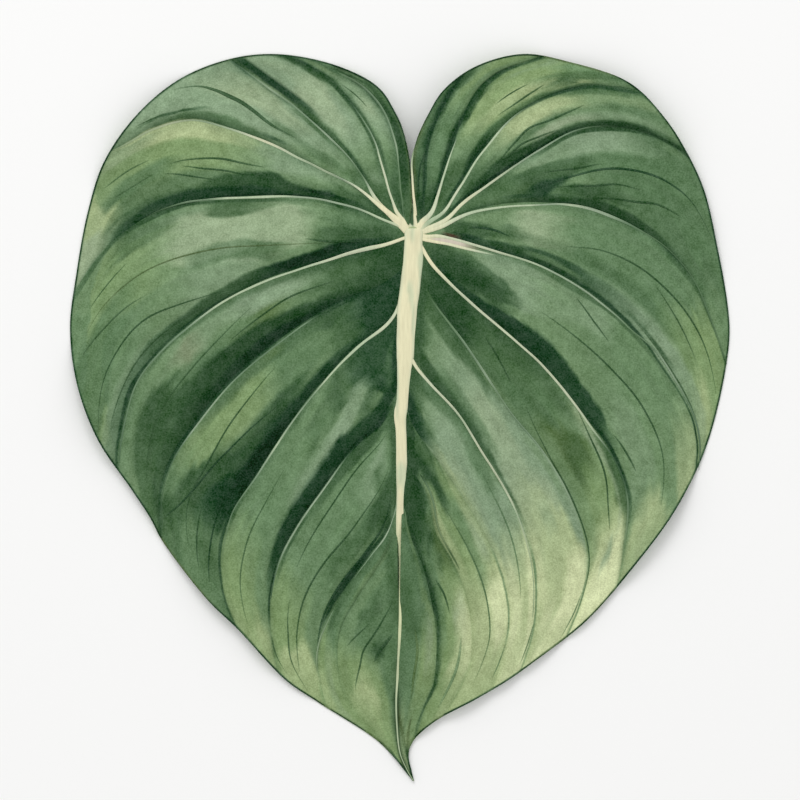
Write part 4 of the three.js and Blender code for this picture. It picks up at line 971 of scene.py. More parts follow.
RIGHT_SHADING_AND_SPOTS = [
    (1, "pine", [.04, (.1, 1.2, .6, .6), (.15, .7, .2, .4), (.2, .8, -.4, .6), (.3, .9, 0, .7),
     (.4, .6, .1, .7), (.5, .9, -.5, .9), (.6, .9, -.7, .9), (.7, .8, -.3, 1), (.8, .8, -.3, .9),
     (.9, .6, 0, .8), (1, .5, 0, .5)]),
    (1, "jade", [.16, (.2, .8, -2.2, .5), (.4, .5, -2, .2), (.5, .7, -2.9, .6), .66]),
    (2, "pine", [.06, (.12, 1, -.7, .7), (.2, .8, 0, .9), (.3, 1, .1, .9), (.4, 1.1, .2, .9),
     (.5, 1, -.3, .8), (.55, .8, .3, .6), (.6, 1, 1.1, .6), .7]),
    (2, "leaf", [.52, (.6, .9, -.9, .6), (.8, 1, -1.3, .9), (1, .5, -1, .3)]),
    (2, "fresh", [.64, (.7, .8, 3.6, .7), (.8, 1.1, 2.9, .8), (.9, 1.1, 2.1, .6), (1, .8, 1.8, .4)]),
    (3, "pine", [.12, (.2, .8, -1.1, .9), (.26, .7, -.5, .8), (.3, 1, -.1, 1), (.4, 1, .2, .9),
     (.47, .5, 0, .3), (.53, .4, 0, .2), (.6, .5, .2, .6), (.7, .9, .4, .7), (.8, .9, .7, .6),
     (.9, .9, 1.3, .6), (1, .6, 1.2, .5)]),
    (3, "forest", [(.64, .8, -3.6, 0), (.8, 2, -4, .7), (.86, 1, -4.4, 0)]),
    (3, "leaf", [.84, (.9, 1.3, -1.5, .8), (1, 1, -1.5, .5)]),
    (3, "jade", [.15, (.2, .9, -3, .5), .25]),
    (3, "fresh", [.54, (.6, 1, -2.1, .4), .65]),
    (4, "ink", [.06, (.1, .8, -.6, .4), (.15, .6, -1.3, .6), (.2, .7, -1.7, .8), (.3, .8, -1.6, .9),
     (.4, .8, -1.5, .8), (.5, .7, -.9, .8), (.6, .7, -.8, .5), .66]),
    (4, "deep", [.42, (.5, 1, 1.3, .6), (.6, 1.2, 1.2, .9), (.7, 1.2, 1, .9), (.8, .8, .4, .8),
     (.92, .5, -.4, .4), (1, .4, -.4, .3)]),
    (4, "leaf", [.84, (.9, 1.8, 2, .5), (1, 1.4, 2, .3)]),
    (4, "leaf", [.56, (.6, .8, -3.8, .6), .76]),
    (4, "jade", [.85, (.9, 1, -2.4, .7), (1, .8, -2.4, .4)]),
    (5, "pine", [.24, (.3, 1.4, -3.6, .6), (.36, 1, -4.2, .4), (.42, .8, -5, .2), .46]),
    (5, "pine", [.34, (.4, .6, -.9, .6), .45]),
    (5, "forest", [.62, (.7, 1.2, 1.6, .6), (.8, .7, .4, .5), (1, .4, 0, .5)]),
    (5, "leaf", [.84, (.9, 1.8, -2.2, .8), (1, 1.6, -2.2, .6)]),
    (5, "fresh", [.84, (.9, 1, 1.4, .6), (1, .8, 1.4, .5)]),
    (5, "deep", [.16, (.2, .6, 2.7, .4), .24]),
    (6, "pine", [(.05, .6, -3, 0), (.1, 1.1, -3.4, .8), (.15, .8, -2.8, .7), (.2, .8, -2, .9),
     (.25, .7, -1.4, .8), (.3, .7, -1, .8), (.4, .6, -1.6, .8), (.5, 1.1, -2, .8), (.6, 1, -1.1, .9),
     (.66, .7, -.6, .7), (.7, .6, 0, .7), (.8, .4, 0, .5), (.9, .5, 0, 1), (1, .4, 0, .6)]),
    (6, "forest", [.24, (.3, 1, 1.5, .4), (.4, 1.8, 2, .55), (.5, .8, .9, .7), (.6, .9, 1, .6), .76]),
    (6, "deep", [.55, (.6, .8, -5, .5), (.7, 1, -4.2, .8), .77]),
    (6, "leaf", [.26, (.3, 1.2, -4.4, .6), (.4, 1.2, -4.4, .6), .45]),
    (6, "sage", [.67, (.7, .7, -2.3, .7), (.8, .9, -1.4, .3), .95]),
    (6, "rust", [.06, (.09, .9, -3.8, .9), .12]),
    (7, "pine", [.05, (.1, 1.2, -2.7, .6), (.2, .5, -2, 0)]),
    (7, "pine", [.5, (.6, .8, -1.7, .8), (.66, .9, -.7, .9), (.7, 1.1, 0, .9), (.76, .9, -.6, .7),
     (.8, .9, -1.1, .5), .87]),
    (7, "mist", [.54, (.6, 1.1, 4.4, .6), (.66, 1, 4.9, .5), (.7, .7, 5.2, .6), (.8, 1, 4.2, .5), .86]),
    (7, "deep", [.26, (.3, .9, 4.6, .4), .35]),
    (7, "sage", [.75, (.8, 1.4, -3.6, .5), .85]),
    (8, "leaf", [.15, (.3, 1.4, .1, .6), (.4, 1.6, -1.6, .5), (.6, 2, -3.4, .5), .68]),
    (8, "forest", [.26, (.3, .8, 4.2, .5), .35]),
    (8, "leaf", [.44, (.5, 1.4, 2, .5), (.6, 1.6, 2.4, .6), .67]),
    (8, "leaf", [.74, (.9, .45, 0, 1), (1, .4, 0, .7)]),
    (8, "straw", [(.78, .4, -1, 0), (.84, .7, 1.2, .3), (.9, .8, 1.6, .8), (1, .8, 1.6, .6)]),
    (9, "forest", [(.3, .5, -1.8, 0), (.4, 1.1, -2.8, .7), (.46, .7, -2, .6), (.5, .8, -1.3, .7), .62]),
    (9, "leaf", [.62, (.7, .7, -.4, 1), (.8, .5, 0, .9), (.9, .6, -.3, .8), (1, .4, 0, .5)]),
    (9, "straw", [.55, (.6, .8, 1.1, .3), (.7, 1.4, 2.2, .6), (.8, 1.6, 2, .6), (.9, 1.1, 1.2, .7),
     (1, .8, 1, .4)]),
    (9, "moss", [.14, (.2, 1, 1.8, .4), .26]),
    (10, "butter", [.14, (.2, 2, -2, .3), (.3, 2.6, .2, .45), (.4, 2.4, 1, .35), (.5, 1.4, .4, .3),
     .56]),
    (10, "leaf", [.5, (.6, .4, 0, .9), (.8, .4, 0, .9), .88]),
    (10, "straw", [.55, (.6, .6, -1.4, .5), (.8, .6, -1.2, .3), .86]),
    (11, "butter", [.12, (.2, 1.8, -1, .3), (.3, 2.6, -1.8, .6), (.36, 2.4, -2.4, .5),
     (.5, 1.8, -2.6, .3), .65]),
    (11, "straw", [(.52, 1.4, 3, 0), (.6, 3, 3, .4), (.7, 2, 2, .5), (.8, 1.6, 1.6, .2), .86]),
    (12, "fresh", [.05, (.1, .8, -.1, .4), (.3, .8, 2.4, .2), (.4, 1.4, 2.4, .5), (.5, 1.2, .2, .4),
     (.6, 1.2, .8, .6), (.7, 2, 2.2, .5), (.8, 1.2, 2, .5), .86]),
    (12, "deep", [.62, (.7, .7, -1.7, .5), (.8, 1.1, -.8, .9), (.86, .6, 0, .6), (.92, .5, .7, .4), 1]),
]

# Fine veins drawn as thin dark lines, the dark being painted shade of the grooves they lie in: sector,
# colour, strength, half-width in mm, (s, t) points.
LEFT_LINES = [
    (1, "forest", .8, .4, [(.6, .5), (.68, .61), (.73, .73)]),
    (3, "deep", .85, .9, [(.49, .53), (.55, .57), (.65, .5), (.75, .42), (.85, .36), (.93, .38),
     (.97, .45)]),
    (3, "forest", .8, .4, [(.88, .77), (.93, .8), (.96, .83)]),
    (4, "deep", .8, .6, [(.45, .4), (.5, .41), (.58, .39), (.67, .43), (.72, .46)]),
    (4, "deep", .8, .5, [(.48, .59), (.55, .55), (.62, .53), (.68, .5)]),
    (4, "deep", .8, .4, [(.56, .69), (.62, .64), (.67, .6), (.72, .56)]),
    (4, "moss", .8, .4, [(.8, .34), (.96, .33)]),
    (4, "moss", .8, .4, [(.76, .52), (.83, .54), (.89, .52)]),
    (5, "umber", .8, .4, [(.2, .7), (.35, .6), (.48, .48), (.6, .42), (.75, .38), (.85, .36),
     (.92, .37)]),
    (5, "deep", .8, .7, [(.1, .75), (.2, .68), (.27, .58)]),
    (5, "deep", .8, .45, [(.48, .9), (.6, .8), (.7, .72), (.8, .7), (.9, .72), (.98, .8)]),
    (5, "forest", .8, .4, [(.55, .94), (.7, .91), (.8, .9), (.92, .9)]),
    (5, "forest", .8, .4, [(.7, .56), (.77, .52), (.86, .48), (.95, .43)]),
    (5, "forest", .7, .35, [(.76, .24), (.83, .26), (.9, .27)]),
    (6, "deep", .8, .5, [(.2, .5), (.32, .45), (.4, .5), (.5, .55)]),
    (6, "forest", .8, .45, [(.42, .3), (.52, .42), (.62, .48), (.7, .5), (.8, .53), (.92, .65)]),
    (7, "deep", .8, .5, [(.41, .28), (.5, .33), (.6, .36), (.7, .42), (.83, .42), (.9, .5)]),
    (7, "pine", .8, .45, [(.45, .69), (.54, .6), (.65, .52), (.77, .42), (.83, .32), (.92, .1)]),
    (7, "pine", .8, .45, [(.69, .82), (.81, .83), (.92, .8)]),
    (7, "deep", .8, .4, [(.77, .6), (.84, .62), (.92, .65)]),
    (8, "forest", .7, .4, [(.5, .34), (.65, .38), (.75, .4), (.83, .4), (.93, .47)]),
    (9, "deep", .8, .45, [(.08, .2), (.3, .22), (.5, .25), (.6, .28)]),
    (9, "deep", .8, .5, [(.08, .53), (.2, .6), (.34, .62), (.5, .575), (.65, .56), (.79, .575),
     (.92, .56)]),
    (9, "pine", .9, .8, [(.07, .72), (.1, .82), (.16, .89), (.31, .93), (.52, .91), (.65, .925),
     (.75, .97)]),
    (9, "forest", .8, .4, [(.7, .35), (.8, .4), (.92, .45), (.98, .65)]),
    (9, "forest", .8, .4, [(.88, .02), (.95, .12), (.97, .24)]),
    (11, "deep", .8, .5, [(.28, .85), (.35, .71), (.46, .54), (.54, .42), (.61, .375), (.69, .29),
     (.73, .25)]),
    (11, "deep", .85, .9, [(.41, .9), (.46, .79), (.52, .67), (.56, .62)]),
    (11, "forest", .8, .45, [(.42, .42), (.5, .25), (.55, .15)]),
]
RIGHT_LINES = [
    (0, "pine", .8, .4, [(.18, .5), (.27, .43), (.36, .58), (.46, .83)]),
    (2, "deep", .8, .5, [(.53, .68), (.56, .73), (.67, .76), (.73, .72)]),
    (2, "deep", .8, .45, [(.59, .46), (.65, .51), (.72, .55)]),
    (3, "deep", .8, .6, [(.34, .63), (.45, .49), (.52, .43), (.58, .53), (.67, .49), (.72, .42)]),
    (3, "deep", .8, .6, [(.37, .7), (.46, .63), (.51, .72), (.57, .82)]),
    (4, "pine", .8, .6, [(.34, .58), (.44, .475), (.52, .42), (.625, .37), (.73, .33), (.83, .31),
     (.92, .33), (.98, .43)]),
    (4, "deep", .8, .5, [(.42, .3), (.52, .35), (.6, .33)]),
    (4, "deep", .8, .5, [(.4, .6), (.52, .58), (.6, .53), (.68, .51)]),
    (4, "deep", .8, .5, [(.46, .81), (.54, .725), (.625, .67), (.71, .58), (.82, .52)]),
    (5, "pine", .8, .7, [(.135, .44), (.17, .47), (.21, .54), (.24, .62)]),
    (5, "deep", .8, .5, [(.39, .56), (.48, .43), (.56, .375), (.67, .35), (.77, .33), (.885, .32),
     (.97, .375)]),
    (5, "forest", .8, .45, [(.65, .41), (.7, .46), (.75, .5), (.83, .57)]),
    (5, "forest", .8, .4, [(.6, .9), (.75, .93), (.92, .95)]),
    (6, "deep", .8, .5, [(.36, .5), (.55, .45), (.7, .44), (.85, .46), (.93, .53)]),
    (6, "deep", .8, .5, [(.43, .11), (.5, .21), (.55, .26)]),
    (6, "deep", .8, .5, [(.66, .88), (.71, .86), (.77, .82)]),
    (7, "deep", .7, .5, [(.25, .4), (.37, .65)]),
    (7, "deep", .85, .6, [(.55, .03), (.635, .19), (.71, .32), (.75, .42), (.8, .48)]),
    (7, "deep", .8, .45, [(.43, .7), (.49, .86), (.54, .94), (.625, .97), (.79, .96), (.92, .98)]),
    (8, "mid", .8, .4, [(.88, .03), (.94, .1), (.98, .17)]),
    (9, "mid", .8, .45, [(.38, .25), (.5, .35), (.63, .45), (.74, .56)]),
    (9, "mid", .8, .35, [(.86, .02), (.92, .07), (.97, .13)]),
    (10, "moss", .8, .45, [(.28, .5), (.4, .5), (.52, .49), (.67, .5), (.77, .52), (.83, .58),
     (.9, .65)]),
    (10, "mid", .8, .35, [(.85, .02), (.9, .06), (.95, .11)]),
    (11, "deep", .8, .5, [(.38, .66), (.46, .54), (.54, .51)]),
    (11, "jade", .7, .9, [(.66, .28), (.77, .35), (.92, .47)]),
    (12, "olive", .8, .8, [(.48, .52), (.58, .44), (.67, .5), (.75, .53)]),
]


# Turning arrays into pieces

def node(tree, kind, links=(), **settings):
    """Adds a shader node, with its settings, values by input name, and links into it."""
    made = tree.nodes.new(kind)
    values = settings.pop("values", {})
    for key, value in settings.items():
        setattr(made, key, value)
    for name, value in values.items():
        made.inputs[name].default_value = value
    for name, source in dict(links).items():
        tree.links.new(source, made.inputs[name])
    return made


def mesh_piece(name, points, faces, colours, material):
    """A closed mesh from points in the leaf's millimetres, whole arrays of faces and sRGB tints."""
    mesh = bpy.data.meshes.new(name)
    corners = np.concatenate([f.ravel() for f in faces]).astype(np.int32)
    sizes = np.concatenate([np.full(len(f), f.shape[1]) for f in faces])
    starts = np.concatenate([[0], np.cumsum(sizes)[:-1]]).astype(np.int32)
    mesh.vertices.add(len(points))
    mesh.vertices.foreach_set("co", placed(points).astype(np.float32).ravel())
    mesh.loops.add(len(corners))
    mesh.loops.foreach_set("vertex_index", corners)
    mesh.polygons.add(len(starts))
    mesh.polygons.foreach_set("loop_start", starts)
    mesh.update(calc_edges=True)
    mesh.validate()
    tint = mesh.color_attributes.new("tint", "FLOAT_COLOR", "POINT")
    rgba = np.concatenate([linear(np.clip(colours, 0, 1)), np.ones((len(points), 1))], 1)
    tint.data.foreach_set("color", rgba.astype(np.float32).ravel())
    mesh.shade_smooth()
    mesh.materials.append(material)
    piece = bpy.data.objects.new(name, mesh)
    bpy.context.scene.collection.objects.link(piece)
    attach(piece, "root")
    return piece


def grid_faces(first, columns, rows, wrap=False):
    """Quads of a grid of points stored column by column, from point number `first`."""
    steps = columns if wrap else columns - 1
    c, r = np.meshgrid(np.arange(steps), np.arange(rows - 1), indexing="ij")
    nxt = (c + 1) % columns
    quads = [c * rows + r, c * rows + r + 1, nxt * rows + r + 1, nxt * rows + r]
    return first + np.stack([q.ravel() for q in quads], 1)


def tube(rings):
    """Points and faces of a closed tube from an array of rings, with a flat face at each end."""
    count, sides = rings.shape[:2]
    i, k = np.meshgrid(np.arange(count - 1), np.arange(sides), indexing="ij")
    nxt = (k + 1) % sides
    quads = [i * sides + k, i * sides + nxt, (i + 1) * sides + nxt, (i + 1) * sides + k]
    walls = np.stack([q.ravel() for q in quads], 1)
    caps = np.stack([np.arange(sides)[::-1], (count - 1) * sides + np.arange(sides)])
    return rings.reshape(-1, 3), [walls, caps]


def joined(parts):
    """Several (points, faces, colours) as one, with the faces renumbered."""
    points, faces, colours, first = [], [], [], 0
    for p, f, c in parts:
        points.append(p)
        colours.append(c)
        faces += [q + first for q in f]
        first += len(p)
    return np.concatenate(points), faces, np.concatenate(colours)


def blade(half, name, material):
    """One half of the blade: a fine top, a coarser underside and a wall all round.

    Columns crowd towards the veins, by a share that moves as t - sin(2 pi t) / 9. The underside
    keeps every third row, and the walls are fans between the two. The last rows lie closer, for
    the margin's thin line.
    """
    s = np.concatenate([np.linspace(0, MARGIN_ROWS_START, INNER_ROWS),
                        np.linspace(MARGIN_ROWS_START, 1, MARGIN_ROWS + 1)[1:]])
    tops, unders, tints = [], [], []
    for k in range(half.sectors):
        reach = np.max(half.plan(k, 0.5, np.array([0.3, 0.6, 0.9]))[2])
        count = max(4, int(round(reach / BLADE_COLUMN_SPACING)))
        t = np.arange(count + (k == half.sectors - 1)) / count
        t = (t - np.sin(2 * np.pi * t) / 9)[:, None]
        place, top, bottom, span, _ = half.surface(k, t, s[None, :])
        tints.append(blade_colour(half, k, t, s[None, :], place, span))
        tops.append(np.concatenate([place, top[..., None]], -1))
        unders.append(np.concatenate([place, bottom[..., None]], -1)[:, ::UNDERSIDE_STEP])
    top = np.concatenate(tops)
    under = np.concatenate(unders)
    tint = np.concatenate(tints)
    columns, rows = top.shape[:2]
    low_rows = under.shape[1]
    low = columns * rows
    faces = grid_faces(0, columns, rows)
    low_faces = grid_faces(low, columns, low_rows)
    if half.side > 0:
        low_faces = low_faces[:, ::-1]
    else:
        faces = faces[:, ::-1]

    c = np.arange(columns - 1)
    rims = []
    for r, low_r, forward in ((rows - 1, low_rows - 1, True), (0, 0, False)):
        quad = [c * rows + r, (c + 1) * rows + r, low + (c + 1) * low_rows + low_r,
                low + c * low_rows + low_r]
        quad = np.stack(quad, 1)
        rims.append(quad if forward == (half.side < 0) else quad[:, ::-1])
    fans = []
    for column, forward in ((0, True), (columns - 1, False)):
        j = np.arange(low_rows - 1)
        up = column * rows + j[:, None] * UNDERSIDE_STEP + np.arange(UNDERSIDE_STEP + 1)
        down = low + column * low_rows + j
        fan = [np.stack([up[:, i], up[:, i + 1], down], 1) for i in range(UNDERSIDE_STEP)]
        fan.append(np.stack([up[:, -1], down + 1, down], 1))
        fan = np.concatenate(fan)
        fans.append(fan if forward == (half.side > 0) else fan[:, ::-1])
    under_tint = tint[:, ::UNDERSIDE_STEP] * 0.3 + TINTS["mist"] * 0.7
    points = np.concatenate([top.reshape(-1, 3), under.reshape(-1, 3)])
    colours = np.concatenate([tint.reshape(-1, 3), under_tint.reshape(-1, 3)])
    piece = mesh_piece(name, points, [faces, low_faces, *rims, *fans], colours, material)
    merge_doubles(piece)
    return piece


def merge_doubles(piece):
    """Joins points that lie on each other, where several sectors start from one place."""
    work = bmesh.new()
    work.from_mesh(piece.data)
    bmesh.ops.remove_doubles(work, verts=work.verts, dist=MERGE_REACH * MM)
    bmesh.ops.recalc_face_normals(work, faces=work.faces)
    work.to_mesh(piece.data)
    work.free()


def on_surface(half, guide, offset, s):
    """Places on the blade's top at an offset in mm beside a guide, square to it in plan.

    The height is that of the blade on the same side of the guide, as far into the sector as the
    offset is a share of its span, but at most half way. Outside the sinus edge it is the edge's.
    """
    t0 = np.zeros(s.shape)
    home = half.guides[guide]
    run = home(np.minimum(s + 2e-3, 1)) - home(np.maximum(s - 2e-3, 0))
    run /= np.linalg.norm(run, axis=-1)[..., None]
    normal = np.stack([run[..., 1], -run[..., 0]], -1)
    k = min(guide, half.sectors - 1)
    into = -half.side * normal
    if k == guide:
        into = half.plan(k, 0.5, s)[0] - half.plan(k, 0.0, s)[0]
    normal *= np.where((normal * into).sum(-1) < 0, -1.0, 1.0)[..., None]
    out = np.concatenate([home(s) + normal * offset[..., None], t0[..., None]], -1)
    if guide < half.sectors:
        t = np.clip(offset / half.span(guide, t0, s), 0, 0.5)
        out[..., 2] = half.surface(guide, t, s)[1]
    if guide > 0:
        t = 1 - np.clip(-offset / half.span(guide - 1, t0 + 1, s), 0, 0.5)
        before = half.surface(guide - 1, t, s)[1]
        out[..., 2] = np.where((offset < 0) | (guide == half.sectors), before, out[..., 2])
    return out


def vein_cord(half, guide, stops, crown=VEIN_CROWN, steps=150, sides=10):
    """A rounded vein lying along a guide, following the blade on both sides.

    Its stops give, by s, the half-width and the shift sideways in mm, the colour, and how far
    that colour covers the blade's own. Round its section the angle a gives a place cos(a)
    half-widths beside the middle, and a height of crown * sin(a) over the blade, or THREAD_SUNK *
    sin(a) below it. The crown is lower where it leaves the midrib, and in a thin vein.
    """
    places, widths, shifts, names, covers = zip(*stops)
    s = np.linspace(places[0], places[-1], steps)[:, None] + np.zeros((1, sides))
    angle = 2 * np.pi * (np.arange(sides) + 0.5)[None, :] / sides
    wide = np.interp(s, places, widths)
    begin = smooth(places[0] - 0.001, places[0] + 0.02, s) if places[0] > 0 else 1.0
    ends = np.sqrt(np.clip(begin, 0.02, 1))
    ends = ends * np.sqrt(np.clip(1 - smooth(places[-1] - 0.05, places[-1] + 0.001, s), 0.02, 1))
    shift = flowing(places, shifts, s)
    ring = on_surface(half, guide, shift + wide * ends * np.cos(angle), s)
    rise = crown * np.minimum(1, wide) * (0.3 + 0.7 * smooth(0, 0.03, s))
    ring[..., 2] += np.where(np.sin(angle) > 0, rise, THREAD_SUNK) * np.sin(angle) * ends
    ring[..., 2] = np.maximum(ring[..., 2], 0.05)
    points, faces = tube(ring)
    if half.side > 0:
        faces = [f[:, ::-1] for f in faces]

    k = min(guide, half.sectors - 1)
    on_guide = np.zeros(s.shape)
    place = half.plan(k, on_guide, s)[0]
    own = blade_colour(half, k, on_guide, s, place, half.span(k, on_guide, s))
    colours = np.array([TINTS[name] for name in names])
    tint = np.stack([np.interp(s, places, colours[:, i]) for i in range(3)], -1)
    return points, faces, mixed(own, tint, np.interp(s, places, covers)).reshape(-1, 3)


def fine_line(half, sector, name, strength, half_width, path, steps=60, sides=6):
    """A thin vein that follows (s, t) points inside a sector, flush with the blade, coloured darker as
    painted shade of its groove.
    """
    line_s, line_t = np.array(path, float).T
    s = np.linspace(line_s[0], line_s[-1], steps)[:, None] + np.zeros((1, sides))
    angle = 2 * np.pi * (np.arange(sides) + 0.5)[None, :] / sides
    centre = np.clip(flowing(line_s, line_t, s), 0, 1)
    share = (s - line_s[0]) / (line_s[-1] - line_s[0])
    taper = np.clip(np.sin(np.pi * np.clip(share, 0, 1)), 0, 1) ** 0.5 * 0.92 + 0.08
    span = half.span(sector, centre, s)
    t = np.clip(centre + half_width * taper * np.cos(angle) / span, 0, 1)
    place, top, _, span, _ = half.surface(sector, t, s)
    ring = np.concatenate([place, top[..., None]], -1)
    ring[..., 2] += np.where(np.sin(angle) > 0, FINE_VEIN_CROWN, FINE_VEIN_SUNK) * np.sin(angle)
    points, faces = tube(ring)
    if half.side > 0:
        faces = [f[:, ::-1] for f in faces]
    under = blade_colour(half, sector, t, s, place, span)
    return points, faces, mixed(under, TINTS[name], strength * taper).reshape(-1, 3)


# The main veins that show: guide, then stops of s, half-width, shift towards the tip's side,
# colour, and how far the colour covers the blade's own. One also gives its crown: the low web
# between the two strands of a vein.
LEFT_CORDS = [
    (1, [(0, .5, 0, "cream", 1), (.04, .4, .5, "pale", .8), (.08, .3, .3, "dim", .3),
     (.15, .4, -.6, "faint", .5), (.2, .4, -.5, "faint", .8), (.3, .4, -.6, "faint", .8),
     (.4, .5, -.8, "dusk", .8), (.5, .5, -.4, "dim", .8), (.6, .5, -.6, "dim", .8),
     (.7, .5, -.5, "dim", .8), (.8, .4, -1, "dim", .4), (.86, .3, -1, "dim", 0)]),
    (2, [(0, 1, 0, "cream", 1), (.05, 1, -.6, "cream", 1), (.1, .95, 0, "ivory", 1),
     (.15, .6, -.6, "bone", 1), (.2, .55, -.6, "bone", 1), (.25, .55, -.5, "bone", 1),
     (.3, .52, -.3, "bone", 1), (.36, .45, -.4, "pale", 1), (.4, .42, -.6, "dusk", 1),
     (.46, .36, -.3, "dim", .9), (.52, .3, 0, "dim", .6), (.62, .3, 0, "dim", 0)]),
    (3, [(0, 2.4, 0, "cream", 1), (.05, 2.2, -.2, "cream", 1), (.1, 1.5, 0, "cream", 1),
     (.14, 1.2, .2, "cream", 1), (.2, 1, .1, "bone", 1), (.25, .5, -.1, "dusk", 1),
     (.3, .36, 0, "faint", .6), (.36, .4, -.3, "dim", .9), (.4, .45, -.4, "dim", 1),
     (.5, .5, -.1, "dusk", 1), (.6, .42, 0, "dim", .9), (.7, .5, -.3, "dim", .9),
     (.8, .5, -.5, "dusk", .7), (.9, .4, -.4, "dim", .4), (.96, .3, -.3, "dim", 0)]),
    (4, [(0, 1.7, -1, "cream", 1), (.06, 1.4, -1.3, "cream", 1), (.1, 1.2, -1.4, "cream", 1),
     (.15, .8, -1.3, "ivory", 1), (.2, .6, -1, "bone", 1), (.25, .5, -.4, "dusk", 1),
     (.3, .52, -.2, "pale", 1), (.35, .5, -.3, "pale", 1), (.4, .6, .2, "pale", 1),
     (.45, .6, .1, "bone", 1), (.5, .65, .2, "ivory", 1), (.56, .6, .4, "bone", 1),
     (.6, .55, .4, "pale", .9), (.7, .5, .8, "dusk", .6), (.8, .6, .3, "bone", .6),
     (.9, .5, .1, "pale", .6), (1, .3, .3, "dusk", .2)]),
    (5, [(0, .9, -1.2, "cream", 1), (.06, .65, -.9, "pale", 1), (.1, .6, -.8, "pale", 1),
     (.15, .5, -.3, "dusk", 1), (.2, .52, 0, "dusk", 1), (.25, .46, -.2, "dusk", 1),
     (.3, .46, 0, "dusk", 1), (.35, .55, .2, "pale", 1), (.4, .72, .6, "pale", 1),
     (.45, .55, .6, "pale", 1), (.5, .6, .2, "pale", 1), (.55, .46, -.3, "dim", .9),
     (.6, .5, -.9, "dim", .9), (.66, .35, -.6, "faint", .5), (.72, .3, -.3, "faint", 0)]),
    (6, [(0, .8, .5, "cream", 1), (.06, .9, .2, "ivory", 1), (.1, 1.1, -.4, "bone", 1),
     (.15, .85, -.5, "bone", 1), (.2, .7, .1, "bone", 1), (.25, .6, .4, "pale", 1),
     (.3, .5, .9, "pale", 1), (.35, .55, .9, "pale", 1), (.4, .62, .7, "pale", 1),
     (.45, .5, .4, "pale", 1), (.5, .55, .4, "pale", 1), (.55, .5, .9, "dusk", 1),
     (.6, .46, 1.4, "dim", .9), (.65, .46, 1.3, "dim", .8), (.7, .42, 1, "dim", .8),
     (.75, .4, .4, "dim", .6), (.8, .4, .1, "dim", .6), (.86, .35, .8, "dim", .5),
     (.9, .4, 1, "dim", .6), (1, .3, 1, "dim", 0)]),
    (7, [(.24, .3, 1, "mid", 0), (.3, .4, .8, "dim", .8), (.36, .4, 1.2, "dim", .7),
     (.45, .38, 1.6, "dim", .7), (.55, .45, 1.6, "dim", .9), (.6, .5, 1.6, "dusk", .9),
     (.7, .5, 1.6, "dusk", .9), (.76, .42, 1.6, "dim", .6), (.85, .36, 1.5, "faint", .4),
     (1, .3, 1, "faint", 0)]),
    (8, [(0, 1, 0, "cream", 1), (.05, .8, 1, "bone", 1), (.1, .9, 1.2, "bone", 1),
     (.15, .7, 1, "pale", 1), (.2, .75, 1.3, "pale", 1), (.25, .55, 1.1, "pale", 1),
     (.3, .5, 1, "pale", 1), (.35, .45, .8, "dim", .9), (.4, .42, .6, "dusk", .9),
     (.45, .46, .5, "dusk", 1), (.5, .52, .6, "pale", 1), (.55, .5, .5, "dusk", .9),
     (.6, .45, .5, "dim", .9), (.66, .4, .2, "dim", .5), (.7, .35, 0, "dim", .5),
     (.75, .4, .6, "dim", .3), (.85, .3, .6, "dim", 0)]),
    (9, [(.22, .3, 1, "mid", 0), (.3, .46, .9, "dim", .9), (.35, .5, .9, "dusk", 1),
     (.4, .5, .8, "dusk", 1), (.45, .5, .7, "dusk", 1), (.5, .5, .7, "dusk", .9),
     (.6, .5, .6, "dusk", .9), (.66, .4, .7, "dim", .7), (.72, .4, .8, "dim", .5),
     (.8, .3, .8, "dim", 0)]),
    (10, [(0, .3, 0, "mid", .5), (.05, .45, .6, "dusk", .7), (.1, .55, .5, "dusk", .9),
     (.15, .55, .3, "dusk", 1), (.2, .6, .4, "dusk", 1), (.25, .5, .4, "dim", 1),
     (.3, .5, .5, "dim", .9), (.4, .5, .7, "dim", 1), (.5, .5, .7, "dusk", .9), (.56, .4, .6, "dim", .8),
     (.62, .38, .2, "dim", .6), (.7, .42, -.6, "dusk", .7), (.78, .4, -.7, "dusk", .6),
     (.86, .3, -.6, "dim", 0)]),
    (11, [(0, .3, 0, "mid", .5), (.06, .3, 1, "mid", .5), (.15, .3, .4, "jade", 0)]),
]
